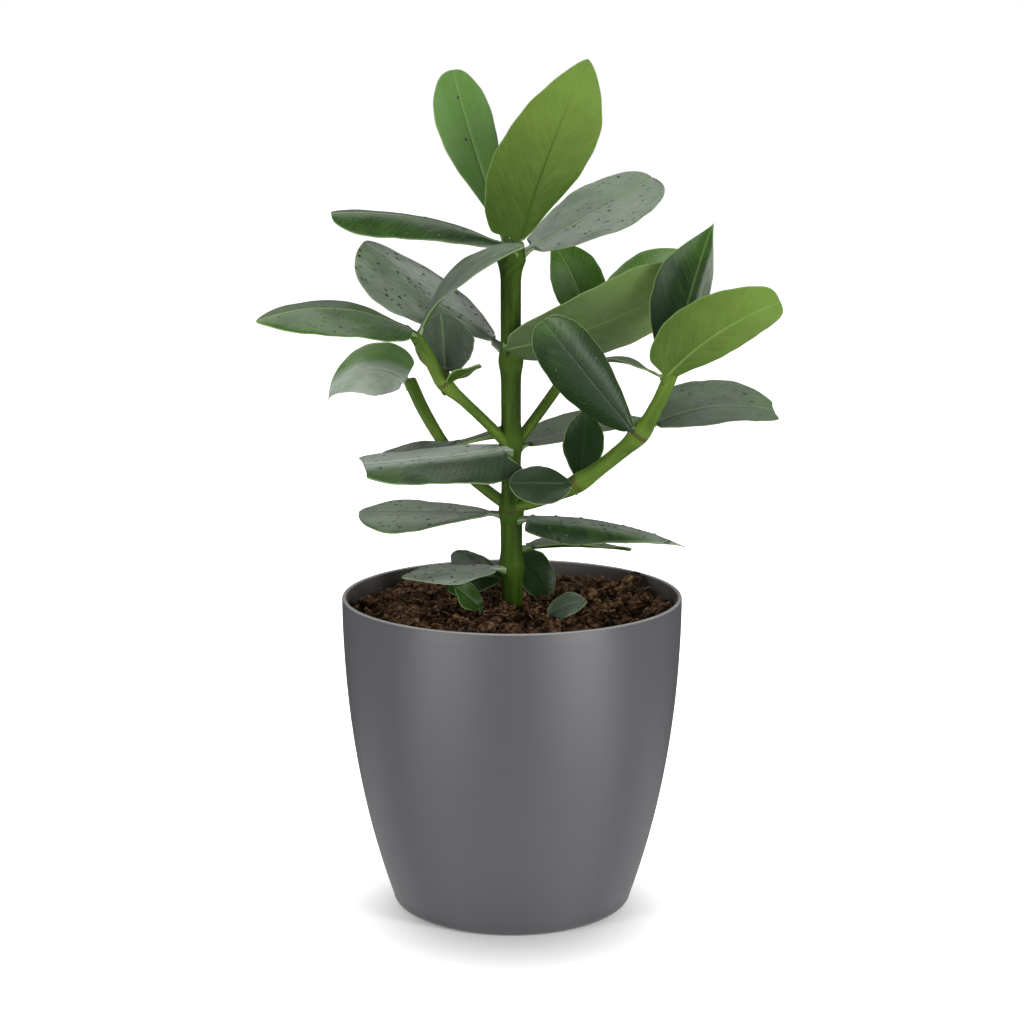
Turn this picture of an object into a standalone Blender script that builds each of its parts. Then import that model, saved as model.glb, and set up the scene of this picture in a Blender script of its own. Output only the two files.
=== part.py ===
"""Potted clusia: a young bushy plant in a plain round pot.

The pot is a turned shell that stands on its flat base. Potting soil fills it to just under the rim. The main
stem stands in a plain hole in the soil and carries four branches, and every stem carries its own leaves.
The frame has +Z up, its origin under the middle of the base, and -Y towards the front.
Lengths in the tables are in millimetres and angles in degrees.
"""

import math
from dataclasses import dataclass

import bmesh
import bpy
from mathutils import Vector, noise

MM = 0.001

POT_RADIUS = 90.0
POT_HEIGHT = 167.0
POT_BASE_RADIUS = 63.2
POT_FOOT_ROUNDING = 3.5
POT_WALL = 2.4
POT_FLOOR = 3.0
POT_TAPER_EVEN = 0.88
POT_PROFILE_STEPS = 8
POT_SIDES = 40

SOIL_MIDDLE_HEIGHT = 160.5
SOIL_EDGE_HEIGHT = 157.5
SOIL_LUMPS = 3.2
SOIL_LUMP_SIZE = 17.0
SOIL_RINGS = 9

SEAT_GAP = 0.3
SOIL_LEAF_GAP = 0.5
STEM_SIDES = 12
STEM_STEP = 6.0
SWELLING = 0.8
SWELLING_REACH = 4.0

PETIOLE_HALF_WIDTH = 1.7
PETIOLE_THICKNESS = 2.8
MIDRIB_THICKNESS = 1.3
BLADE_THICKNESS = 0.9
MARGIN_THICKNESS = 0.7
TIP_HALF_WIDTH = 0.8
MARGIN_WAVE = 0.7
MARGIN_WAVES = 1.5
CENTRE_LINE_STEPS = 40
BLADE_ROWS = (0.0, 0.05, 0.13, 0.26, 0.42, 0.58, 0.73, 0.86, 0.95, 1.0)
BLADE_COLUMNS = (-1.0, -0.5, 0.0, 0.5, 1.0)


@dataclass(frozen=True)
class Finish:
    """Colour, roughness and metallic value of one material."""

    name: str
    colour: tuple[float, float, float]
    roughness: float
    metallic: float = 0.0


@dataclass(frozen=True)
class Stem:
    """One stem: the points that its middle runs through, each with a radius, and where leaves swell it."""

    name: str
    route: tuple[tuple[float, float, float, float], ...]
    joints: tuple[float, ...]
    grows_from: str = ""


@dataclass(frozen=True)
class Leaf:
    """One leaf on a stem.

    It leaves the stem at base. heading is the compass direction there: 0 right, 90 back, 180 left, 270 front.
    rise is the slope there, bend how far the slope falls by the tip, and sweep how far the heading turns.
    roll leans the blade to its right and twist adds to that by the tip. fold raises each half at the midrib,
    and cup turns it further up towards the margin. lobe is how far the blade reaches back beside the stalk,
    and notch how far the margin runs past the midrib at the tip. A low base_round or tip_round makes that end
    blunt. skew is how much wider the left half is near the stalk, as a share of its width, and the right half
    is as much narrower. axil names the branch that grows out just above the stalk, which the stalk stays
    clear of.
    """

    name: str
    stem: str
    base: tuple[float, float, float]
    heading: float
    rise: float
    bend: float
    sweep: float
    length: float
    width: float
    roll: float
    twist: float = 0.0
    fold: float = 0.0
    cup: float = 8.0
    widest: float = 0.48
    stalk: float = 9.0
    lobe: float = 3.0
    notch: float = 0.0
    base_round: float = 0.5
    tip_round: float = 0.62
    skew: float = 0.0
    axil: str = ""


POT_FINISH = Finish("pot_grey", (0.115, 0.113, 0.122), 0.42)
SOIL_FINISH = Finish("soil_brown", (0.075, 0.040, 0.022), 0.95)
STEM_FINISH = Finish("stem_green", (0.115, 0.200, 0.035), 0.45)
LEAF_FINISH = Finish("leaf_green", (0.045, 0.120, 0.030), 0.32)

STEMS = (
    Stem(
        "main_stem",
        (
            (0.5, 0.0, 112.0, 4.5),
            (0.5, 0.0, 135.0, 5.9),
            (0.3, 0.0, 162.0, 6.2),
            (0.0, 0.0, 200.0, 6.2),
            (-0.3, 0.0, 235.0, 5.2),
            (-0.3, 0.0, 300.0, 5.1),
            (-0.2, 0.0, 335.0, 5.0),
            (0.0, 0.0, 345.0, 6.2),
            (0.2, 0.0, 352.0, 5.2),
        ),
        (182.0, 189.0, 212.0, 249.0, 293.0),
    ),
    Stem(
        "branch_front_left",
        (
            (-2.0, -3.0, 247.0, 3.0),
            (-13.0, -5.0, 259.0, 2.7),
            (-24.0, -8.0, 270.0, 2.7),
            (-35.0, -12.0, 281.0, 3.0),
            (-43.0, -16.0, 295.0, 3.5),
            (-49.0, -20.0, 306.0, 3.2),
        ),
        (281.0,),
        "main_stem",
    ),
    Stem(
        "branch_back_left",
        (
            (-2.0, 2.0, 214.0, 3.2),
            (-14.0, 7.0, 222.0, 3.0),
            (-27.0, 11.0, 233.0, 3.0),
            (-38.0, 14.0, 248.0, 3.1),
            (-47.0, 17.0, 263.0, 3.3),
            (-54.0, 19.0, 278.0, 3.4),
        ),
        (),
        "main_stem",
    ),
    Stem(
        "branch_front_right",
        (
            (2.0, -3.0, 214.0, 2.8),
            (16.0, -8.0, 219.0, 3.0),
            (34.0, -15.0, 229.0, 3.8),
            (50.0, -22.0, 242.0, 4.0),
            (65.0, -29.0, 257.0, 4.0),
            (74.0, -33.0, 273.0, 3.7),
            (80.0, -36.0, 288.0, 3.6),
        ),
        (229.0, 257.0),
        "main_stem",
    ),
    Stem(
        "branch_back_right",
        (
            (2.0, 3.0, 247.0, 3.0),
            (11.0, 8.0, 258.0, 2.8),
            (24.0, 16.0, 275.0, 2.8),
            (35.0, 22.0, 290.0, 2.9),
            (43.0, 27.0, 303.0, 3.0),
        ),
        (),
        "main_stem",
    ),
)

LEAVES = (
    Leaf("leaf_crown_front", "main_stem", (2, -4, 348), 334, 72, 10, -4, 103, 50, -50,
         widest=0.46, stalk=8, lobe=4, base_round=0.45, skew=-0.26),
    Leaf("leaf_crown_back", "main_stem", (-2, 3, 348), 156, 66, -2, -22, 98, 34, -34,
         widest=0.68, base_round=0.8, tip_round=0.5),
    Leaf("leaf_crown_left", "main_stem", (3, -4, 347.5), 193, 27, 31, -4, 99, 30, -22,
         fold=-12, cup=-6, widest=0.52, tip_round=0.42),
    Leaf("leaf_crown_right", "main_stem", (3, 1, 346), 23, 24, 1, 8, 94, 43, 28, widest=0.62, tip_round=0.52),
    Leaf("leaf_upper_left", "main_stem", (-3, 4, 293), 172, 33, 3, 2, 94, 46, -38,
         widest=0.76, base_round=0.9, tip_round=0.4),
    Leaf("leaf_upper_right", "main_stem", (0, -6, 293), 352, 14, -22, 24, 108, 43, -62,
         widest=0.62, stalk=6, lobe=12, base_round=0.42, skew=-0.55),
    Leaf("leaf_middle_left", "main_stem", (-1, -4, 246), 218, 0, -2, -17, 85, 34, -31,
         widest=0.32, fold=-14, cup=-10, stalk=6, lobe=13, notch=3, base_round=0.32, tip_round=0.34,
         axil="branch_front_left"),
    Leaf("leaf_middle_right", "main_stem", (2, 3, 245), 34, 12, 12, -3, 84, 41, 7,
         stalk=7, lobe=5, axil="branch_back_right"),
    Leaf("leaf_middle_back", "main_stem", (-1, 3, 259), 138, -27, -4, 0, 48, 20, 0),
    Leaf("leaf_lower_left", "main_stem", (-2, 0, 209.5), 163, -1, 5, -2, 86, 35, -19,
         widest=0.66, base_round=1.1, tip_round=0.48, axil="branch_back_left"),
    Leaf("leaf_lower_right", "main_stem", (2, -2, 208), 328, 4, 10, -6, 102, 29, 26,
         widest=0.34, fold=-20, cup=-8, stalk=7, lobe=7, tip_round=1.15, axil="branch_front_right"),
    Leaf("leaf_base_left", "main_stem", (-2, -3, 181), 202, 2, 5, -3, 59, 28, -8),
    Leaf("leaf_base_right", "main_stem", (2, 3, 191), 30, -2, 8, -1, 74, 28, -2),
    Leaf("leaf_base_back_left", "main_stem", (-2, 3, 181), 152, -8, 26, 5, 34, 25, -72, stalk=6),
    Leaf("leaf_base_back_right", "main_stem", (3, 4, 185), 50, -14, 66, -20, 30, 25, 84, stalk=6),
    Leaf("leaf_front_left_tip_left", "branch_front_left", (-49, -20, 305.5), 205, 31, 49, -4, 87, 40, -28,
         fold=-14, cup=-8, stalk=6),
    Leaf("leaf_front_left_tip_right", "branch_front_left", (-48, -19, 305), 338, 62, 50, 12, 74, 27, 26,
         stalk=6),
    Leaf("leaf_front_left_side", "branch_front_left", (-34, -12, 281), 100, 80, 0, 9, 36, 33, -3, stalk=6),
    Leaf("leaf_front_left_small", "branch_front_left", (-35, -12, 281), 317, 20, -6, 8, 26, 9, 10, stalk=6),
    Leaf("leaf_back_left_tip", "branch_back_left", (-54, 19, 276), 196, 56, 124, -8, 55, 28, -78, 35,
         widest=0.26, fold=-20, tip_round=1.6),
    Leaf("leaf_front_right_low_left", "branch_front_right", (34, -16, 227), 208, 7, 5, -8, 37, 23, -51, stalk=6),
    Leaf("leaf_front_right_low_back", "branch_front_right", (34, -14, 228), 70, 58, -12, 10, 41, 22, 14, stalk=7),
    Leaf("leaf_front_right_mid_left", "branch_front_right", (64, -31, 256), 212, 47, 0, 1, 85, 35, -118,
         widest=0.6, cup=-18, tip_round=0.55),
    Leaf("leaf_front_right_mid_right", "branch_front_right", (66, -27, 258.5), 14, 25, 44, 4, 77, 38, 24,
         stalk=11, lobe=8, notch=3, base_round=0.42, tip_round=0.38, skew=0.25),
    Leaf("leaf_front_right_tip_right", "branch_front_right", (78, -37, 288), 335, 41, 14, 10, 69, 38, -58,
         widest=0.42, stalk=6, lobe=11, base_round=0.4, tip_round=0.4, skew=-0.4),
    Leaf("leaf_front_right_tip_back", "branch_front_right", (79, -34, 286), 52, 68, 3, -15, 82, 34, 33,
         cup=20, tip_round=1.1),
    Leaf("leaf_back_right_tip_left", "branch_back_right", (41, 27, 302), 158, 80, 25, 17, 55, 32, -65, stalk=6),
    Leaf("leaf_back_right_tip_right", "branch_back_right", (45, 27, 303), 34, 57, 48, -19, 74, 34, 14),
    Leaf("leaf_back_right_side", "branch_back_right", (34, 21, 287), 350, 18, 54, 4, 47, 15, 0, tip_round=0.9),
    Leaf("leaf_soil_left", "soil", (-14, -14, 161), 195, 45, 15, 0, 19, 13, -50, stalk=3, lobe=0),
    Leaf("leaf_soil_right", "soil", (23, -31, 158), 345, 55, 45, 10, 26, 16, 45, stalk=3, lobe=0),
)


def clear_scene() -> None:
    """Takes away whatever the scene starts with."""
    for obj in list(bpy.data.objects):
        bpy.data.objects.remove(obj)


def material_of(finish: Finish) -> bpy.types.Material:
    """Returns the finish as a Principled material, made once."""
    material = bpy.data.materials.get(finish.name)
    if material:
        return material
    material = bpy.data.materials.new(finish.name)
    material.use_nodes = True
    shader = material.node_tree.nodes["Principled BSDF"]
    shader.inputs["Base Color"].default_value = (*finish.colour, 1.0)
    shader.inputs["Roughness"].default_value = finish.roughness
    shader.inputs["Metallic"].default_value = finish.metallic
    return material


def add_object(name: str, points: list[Vector], faces: list[tuple[int, ...]], finish: Finish) -> bpy.types.Object:
    """Makes one closed mesh object from points in millimetres."""
    mesh = bpy.data.meshes.new(name)
    mesh.from_pydata([point * MM for point in points], [], faces)
    work = bmesh.new()
    work.from_mesh(mesh)
    bmesh.ops.recalc_face_normals(work, faces=work.faces)
    work.to_mesh(mesh)
    work.free()
    mesh.shade_smooth()
    mesh.set_sharp_from_angle(angle=math.radians(40))
    mesh.materials.append(material_of(finish))
    obj = bpy.data.objects.new(name, mesh)
    bpy.context.scene.collection.objects.link(obj)
    return obj


def cut_away(obj: bpy.types.Object, cutter: bpy.types.Object) -> None:
    """Cuts the cutter's shape out of the object and keeps the cutter as a hidden guide."""
    cutter.hide_render = True
    cutter.display_type = "WIRE"
    modifier = obj.modifiers.new(f"clear_{cutter.name}", "BOOLEAN")
    modifier.operation = "DIFFERENCE"
    modifier.solver = "EXACT"
    modifier.object = cutter


def ring_faces(rings: int, sides: int) -> list[tuple[int, ...]]:
    """Joins rings of points, one after another, with four-sided faces."""
    faces = []
    for ring in range(rings - 1):
        for side in range(sides):
            after = (side + 1) % sides
            low, high = ring * sides, (ring + 1) * sides
            faces.append((low + side, low + after, high + after, high + side))
    return faces


def turned(profile: list[tuple[float, float]], sides: int) -> tuple[list[Vector], list[tuple[int, ...]]]:
    """Turns an outline of (radius, height) round Z, with a pole at its first and last point."""
    points = [
        Vector((radius * math.cos(turn), radius * math.sin(turn), height))
        for radius, height in profile[1:-1]
        for turn in (2 * math.pi * side / sides for side in range(sides))
    ]
    faces = ring_faces(len(profile) - 2, sides)
    first, last = len(points), len(points) + 1
    points += [Vector((0, 0, profile[0][1])), Vector((0, 0, profile[-1][1]))]
    top_ring = (len(profile) - 3) * sides
    for side in range(sides):
        after = (side + 1) % sides
        faces.append((first, after, side))
        faces.append((last, top_ring + side, top_ring + after))
    return points, faces


def pot_radius(height: float) -> float:
    """Outer radius of the pot at a height: nearly straight below the rim and drawn in towards the base."""
    depth = (POT_HEIGHT - height) / POT_HEIGHT
    taper = POT_TAPER_EVEN * depth**2 + (1 - POT_TAPER_EVEN) * depth**4
    return POT_RADIUS - (POT_RADIUS - POT_BASE_RADIUS) * taper


def wall_heights(bottom: float, top: float) -> list[float]:
    """Heights of the profile points up a wall, both ends included."""
    return [bottom + (top - bottom) * step / POT_PROFILE_STEPS for step in range(POT_PROFILE_STEPS + 1)]


def add_pot() -> bpy.types.Object:
    """Makes the pot as one turned shell."""
    foot = POT_FOOT_ROUNDING
    lip = POT_WALL / 2
    outer = [(pot_radius(z), z) for z in wall_heights(foot, POT_HEIGHT - lip)]
    inner = [(pot_radius(z) - POT_WALL, z) for z in wall_heights(POT_FLOOR + foot, POT_HEIGHT - lip)]
    foot_arc = [
        (
            outer[0][0] - foot * (1 - math.sin(turn)),
            foot * (1 - math.cos(turn)),
        )
        for turn in (0.0, math.radians(35), math.radians(65))
    ]
    lip_top = [
        (POT_RADIUS - lip * 0.3, POT_HEIGHT - lip * 0.3),
        (POT_RADIUS - lip, POT_HEIGHT),
        (POT_RADIUS - lip * 1.7, POT_HEIGHT - lip * 0.3),
    ]
    floor_edge = [(inner[0][0] - foot, POT_FLOOR)]
    profile = [(0.0, 0.0), *foot_arc, *outer, *lip_top, *reversed(inner), *floor_edge, (0.0, POT_FLOOR)]
    return add_object("pot", *turned(profile, POT_SIDES), POT_FINISH)


def soil_height(x: float, y: float) -> float:
    """Height of the soil's surface: a low mound with lumps."""
    reach = math.hypot(x, y) / (POT_RADIUS - POT_WALL)
    mound = SOIL_MIDDLE_HEIGHT + (SOIL_EDGE_HEIGHT - SOIL_MIDDLE_HEIGHT) * reach**2
    place = Vector((x, y, 0)) / SOIL_LUMP_SIZE
    return mound + SOIL_LUMPS * noise.noise(place) + 0.5 * SOIL_LUMPS * noise.noise(2.3 * place)


def add_soil() -> bpy.types.Object:
    """Makes the soil that fills the pot, 0.3 mm clear of its wall and floor."""
    foot = POT_FOOT_ROUNDING
    side_clearance = POT_WALL + SEAT_GAP
    floor = POT_FLOOR + SEAT_GAP
    side = [(pot_radius(z) - side_clearance, z) for z in wall_heights(POT_FLOOR + foot, SOIL_EDGE_HEIGHT)]
    bottom = (side[0][0] - foot - SEAT_GAP, floor)
    edge_radius = side[-1][0]
    rings = [(edge_radius * (SOIL_RINGS - ring) / SOIL_RINGS, SOIL_EDGE_HEIGHT) for ring in range(1, SOIL_RINGS)]
    profile = [(0.0, floor), bottom, *side, *rings, (0.0, SOIL_MIDDLE_HEIGHT)]
    points, faces = turned(profile, POT_SIDES)
    top = SOIL_EDGE_HEIGHT - 0.01
    for point in points:
        if point.z > top:
            point.z = soil_height(point.x, point.y)
    return add_object("soil", points, faces, SOIL_FINISH)


def along(route: tuple[tuple[float, float, float, float], ...], step: float) -> list[tuple[Vector, float]]:
    """Points about a step apart on the smooth curve through a route, each with its radius."""
    knots = [Vector(knot[:3]) for knot in route]
    radii = [knot[3] for knot in route]
    knots = [2 * knots[0] - knots[1], *knots, 2 * knots[-1] - knots[-2]]
    found = []
    for index in range(1, len(knots) - 2):
        before, start, end, after = knots[index - 1 : index + 3]
        pieces = max(1, round((end - start).length / step))
        for piece in range(pieces):
            t = piece / pieces
            point = 0.5 * (
                2 * start
                + (end - before) * t
                + (2 * before - 5 * start + 4 * end - after) * t**2
                + (3 * start - before - 3 * end + after) * t**3
            )
            found.append((point, radii[index - 1] * (1 - t) + radii[index] * t))
    return [*found, (knots[-2], radii[-1])]


def add_stem(stem: Stem, name: str, clearance: float) -> bpy.types.Object:
    """Makes a stem as a round tube, swollen where leaves join it, and larger by the clearance."""
    path = along(stem.route, STEM_STEP)
    points = []
    for index, (centre, radius) in enumerate(path):
        ahead = path[min(index + 1, len(path) - 1)][0] - path[max(index - 1, 0)][0]
        right = ahead.cross(Vector((0, 1, 0))).normalized()
        front = right.cross(ahead).normalized()
        swelling = sum(
            SWELLING * math.exp(-(((centre.z - joint) / SWELLING_REACH) ** 2)) for joint in stem.joints
        )
        size = radius + swelling + clearance
        for side in range(STEM_SIDES):
            turn = 2 * math.pi * side / STEM_SIDES
            points.append(centre + size * (right * math.cos(turn) + front * math.sin(turn)))
    faces = ring_faces(len(path), STEM_SIDES)
    end_lift = (path[-1][0] - path[-2][0]).normalized() * (path[-1][1] * 0.5 + clearance)
    start_drop = (path[0][0] - path[1][0]).normalized() * clearance
    first, last = len(points), len(points) + 1
    points += [path[0][0] + start_drop, path[-1][0] + end_lift]
    top_ring = (len(path) - 1) * STEM_SIDES
    for side in range(STEM_SIDES):
        after = (side + 1) % STEM_SIDES
        faces.append((first, after, side))
        faces.append((last, top_ring + side, top_ring + after))
    return add_object(name, points, faces, STEM_FINISH)


def blade_share(leaf: Leaf, run: float) -> float:
    """Half width of the blade at a share of its run, as a share of the widest: 0 at both ends."""
    if run < leaf.widest:
        return math.sin(math.pi / 2 * run / leaf.widest) ** leaf.base_round
    return math.sin(math.pi / 2 * (1 - run) / (1 - leaf.widest)) ** leaf.tip_round if run < 1 else 0.0


def centre_line(leaf: Leaf) -> list[tuple[Vector, Vector, Vector, Vector]]:
    """Points along the middle of the leaf, each with its direction, its right and its upper side."""
    line = []
    point = Vector(leaf.base)
    for step in range(CENTRE_LINE_STEPS + 1):
        share = step / CENTRE_LINE_STEPS
        heading = math.radians(leaf.heading + leaf.sweep * share)
        rise = math.radians(leaf.rise - leaf.bend * share)
        lean = math.radians(leaf.roll + leaf.twist * share)
        ahead = Vector((math.cos(rise) * math.cos(heading), math.cos(rise) * math.sin(heading), math.sin(rise)))
        upper = Vector((-math.sin(rise) * math.cos(heading), -math.sin(rise) * math.sin(heading), math.cos(rise)))
        right = ahead.cross(upper)
        leaned_upper = upper * math.cos(lean) + right * math.sin(lean)
        leaned_right = right * math.cos(lean) - upper * math.sin(lean)
        line.append((point.copy(), ahead, leaned_right, leaned_upper))
        point += ahead * (leaf.length / CENTRE_LINE_STEPS)
    return line


def on_line(line: list[tuple[Vector, Vector, Vector, Vector]], share: float) -> tuple[Vector, ...]:
    """The centre line's point and directions at a share of its length."""
    place = min(max(share, 0.0), 1.0) * CENTRE_LINE_STEPS
    index = min(int(place), CENTRE_LINE_STEPS - 1)
    part = place - index
    return tuple(a.lerp(b, part) for a, b in zip(line[index], line[index + 1]))


def leaf_section(leaf: Leaf, line: list, run: float, column: float, clearance: float) -> tuple[Vector, Vector]:
    """One point of the leaf's two faces, upper then lower. A run under 0 is on the stalk."""
    stalk_share = leaf.stalk / leaf.length
    share = stalk_share + (1 - stalk_share) * run if run >= 0 else 0.0
    centre, ahead, right, upper = on_line(line, share)
    out = abs(column)
    if run <= 0:
        half = PETIOLE_HALF_WIDTH
        middle, margin = PETIOLE_THICKNESS, PETIOLE_THICKNESS * 0.6
        turn = 0.0
    else:
        half = max(TIP_HALF_WIDTH, leaf.width / 2 * blade_share(leaf, run))
        middle = MIDRIB_THICKNESS + (PETIOLE_THICKNESS - MIDRIB_THICKNESS) * (1 - run) ** 3
        margin = BLADE_THICKNESS + (MARGIN_THICKNESS - BLADE_THICKNESS) * out
        turn = math.radians(leaf.fold + leaf.cup * out)
    thickness = (middle if out == 0 else margin) + 2 * clearance
    if run > 0:
        half *= 1 - leaf.skew * math.copysign(1.0, column) * (1 - run) ** 2
    half += clearance
    side = right * math.copysign(1.0, column)
    flat = half * out
    wave = MARGIN_WAVE * out**2 * math.sin(2 * math.pi * MARGIN_WAVES * run + leaf.heading + column) if run > 0 else 0.0
    back = leaf.lobe * out**2 * max(0.0, 1 - run) ** 6 if run > 0 else 0.0
    past_tip = leaf.notch * out * max(0.0, run) ** 8 if run < 1 else 0.0
    point = centre + side * (flat * math.cos(turn)) + upper * (flat * math.sin(turn) + wave)
    point += ahead * (past_tip - back)
    if run in (-1.0, 1.0):
        point += ahead * (run * clearance)
    normal = upper * math.cos(turn) - side * math.sin(turn)
    return point + normal * thickness / 2, point - normal * thickness / 2


def add_leaf(leaf: Leaf, name: str, clearance: float) -> bpy.types.Object:
    """Makes a leaf as one thin solid, its two faces split into triangles alike, larger by the clearance."""
    line = centre_line(leaf)
    rows, columns = len(BLADE_ROWS) + 1, len(BLADE_COLUMNS)
    upper, lower = [], []
    for run in (-1.0, *BLADE_ROWS):
        for column in BLADE_COLUMNS:
            above, below = leaf_section(leaf, line, run, column, clearance)
            upper.append(above)
            lower.append(below)
    count = rows * columns
    faces = []
    for row in range(rows - 1):
        for column in range(columns - 1):
            a = row * columns + column
            b, c, d = a + 1, a + columns + 1, a + columns
            halves = ((a, b, c), (a, c, d)) if column < columns // 2 else ((a, b, d), (b, c, d))
            for half in halves:
                faces.append(half)
                faces.append(tuple(count + corner for corner in reversed(half)))
        for edge in (0, columns - 1):
            a, d = row * columns + edge, (row + 1) * columns + edge
            faces.append((a, d, count + d, count + a))
    for start in (0, count - columns):
        for column in range(columns - 1):
            a, b = start + column, start + column + 1
            faces.append((a, b, count + b, count + a))
    return add_object(name, upper + lower, faces, LEAF_FINISH)


def main() -> None:
    """Builds the pot, the soil, the stems and the leaves."""
    clear_scene()
    add_pot()
    soil = add_soil()
    guides = {}
    for stem in STEMS:
        obj = add_stem(stem, stem.name, 0.0)
        guides[stem.name] = add_stem(stem, f"clearance_{stem.name}", SEAT_GAP)
        if stem.grows_from:
            cut_away(obj, guides[stem.grows_from])
    cut_away(soil, guides["main_stem"])
    for leaf in LEAVES:
        obj = add_leaf(leaf, leaf.name, 0.0)
        if leaf.stem == "soil":
            cut_away(soil, add_leaf(leaf, f"clearance_{leaf.name}", SOIL_LEAF_GAP))
        for name in (leaf.stem, leaf.axil):
            if name in guides:
                cut_away(obj, guides[name])


main()
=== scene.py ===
"""The looks of a potted clusia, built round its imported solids.

Each sub-assembly is a class: the pot, the bed of soil, the stems, the leaves and the studio. Lengths in the
tables are in millimetres and angles in degrees; Blender gets metres.
"""

import logging
import math
import random
from collections.abc import Callable, Iterable
from dataclasses import dataclass, field
from enum import Enum

import bpy
import numpy as np
from mathutils import Euler, Matrix, Vector, noise

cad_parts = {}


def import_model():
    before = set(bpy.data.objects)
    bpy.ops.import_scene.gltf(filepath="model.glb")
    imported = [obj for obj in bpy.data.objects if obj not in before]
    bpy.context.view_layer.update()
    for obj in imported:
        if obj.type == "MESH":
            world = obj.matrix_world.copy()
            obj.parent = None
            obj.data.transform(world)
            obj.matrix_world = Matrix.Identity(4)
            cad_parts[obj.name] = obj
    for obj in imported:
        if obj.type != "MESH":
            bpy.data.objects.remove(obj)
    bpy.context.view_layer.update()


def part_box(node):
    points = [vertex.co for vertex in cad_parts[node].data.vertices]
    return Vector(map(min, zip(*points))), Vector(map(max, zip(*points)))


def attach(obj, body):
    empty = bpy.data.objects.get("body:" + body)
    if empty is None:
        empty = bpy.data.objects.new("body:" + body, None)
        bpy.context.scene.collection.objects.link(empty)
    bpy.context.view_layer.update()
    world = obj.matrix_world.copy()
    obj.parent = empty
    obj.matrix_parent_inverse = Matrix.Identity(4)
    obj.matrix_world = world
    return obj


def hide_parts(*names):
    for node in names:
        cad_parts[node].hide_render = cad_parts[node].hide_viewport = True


LOG = logging.getLogger("clusia")
MM = 0.001
BODY = "root"

Colour = tuple[float, float, float]
Point = tuple[float, float, float]
Pair = tuple[float, float]
Frame = tuple[Vector, Vector, Vector, Vector]
Piece = bpy.types.Object
Material = bpy.types.Material


class Slot(Enum):
    """The record's material slots."""

    POT = "pot"
    SOIL = "soil"
    STEM = "stem"
    LEAF = "leaf"


def smooth(value: float) -> float:
    """Returns a soft step from 0 to 1 as the value goes from 0 to 1."""
    value = min(max(value, 0.0), 1.0)
    return value * value * (3 - 2 * value)


def ring_turns(sides: int) -> list[float]:
    """Returns the angles of a ring's points, with the first one again at the end."""
    return [2 * math.pi * (side % sides) / sides for side in range(sides + 1)]


class Value:
    """A shader value that takes part in Python expressions."""

    def __init__(self, recipe: "Nodes", socket: bpy.types.NodeSocket) -> None:
        """Keeps the socket that gives the value."""
        self.recipe = recipe
        self.socket = socket

    def _math(self, operation: str, first: "Value | float", second: "Value | float" = 0.0) -> "Value":
        """Adds a Math node and returns its value."""
        return self.recipe.node("ShaderNodeMath", {"operation": operation}, {0: first, 1: second})

    def __add__(self, other: "Value | float") -> "Value":
        """Returns self + other."""
        return self._math("ADD", self, other)

    __radd__ = __add__

    def __sub__(self, other: "Value | float") -> "Value":
        """Returns self - other."""
        return self._math("SUBTRACT", self, other)

    def __rsub__(self, other: "Value | float") -> "Value":
        """Returns other - self."""
        return self._math("SUBTRACT", other, self)

    def __mul__(self, other: "Value | float") -> "Value":
        """Returns self * other."""
        return self._math("MULTIPLY", self, other)

    __rmul__ = __mul__

    def __abs__(self) -> "Value":
        """Returns the value without its sign."""
        return self._math("ABSOLUTE", self)

    def part(self) -> "Value":
        """Returns the fractional part."""
        return self._math("FRACT", self)

    def clamped(self) -> "Value":
        """Returns the value held between 0 and 1."""
        return self.recipe.node("ShaderNodeMath", {"operation": "ADD", "use_clamp": True}, {0: self, 1: 0.0})

    def step(self, low: float, high: float) -> "Value":
        """Returns a soft step: 0 at low and 1 at high, or the other way round where low is the larger."""
        settings = {"interpolation_type": "SMOOTHSTEP"}
        ends = (low, high, 0.0, 1.0) if low < high else (high, low, 1.0, 0.0)
        return self.recipe.node("ShaderNodeMapRange", settings, dict(enumerate((self, *ends))))


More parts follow.
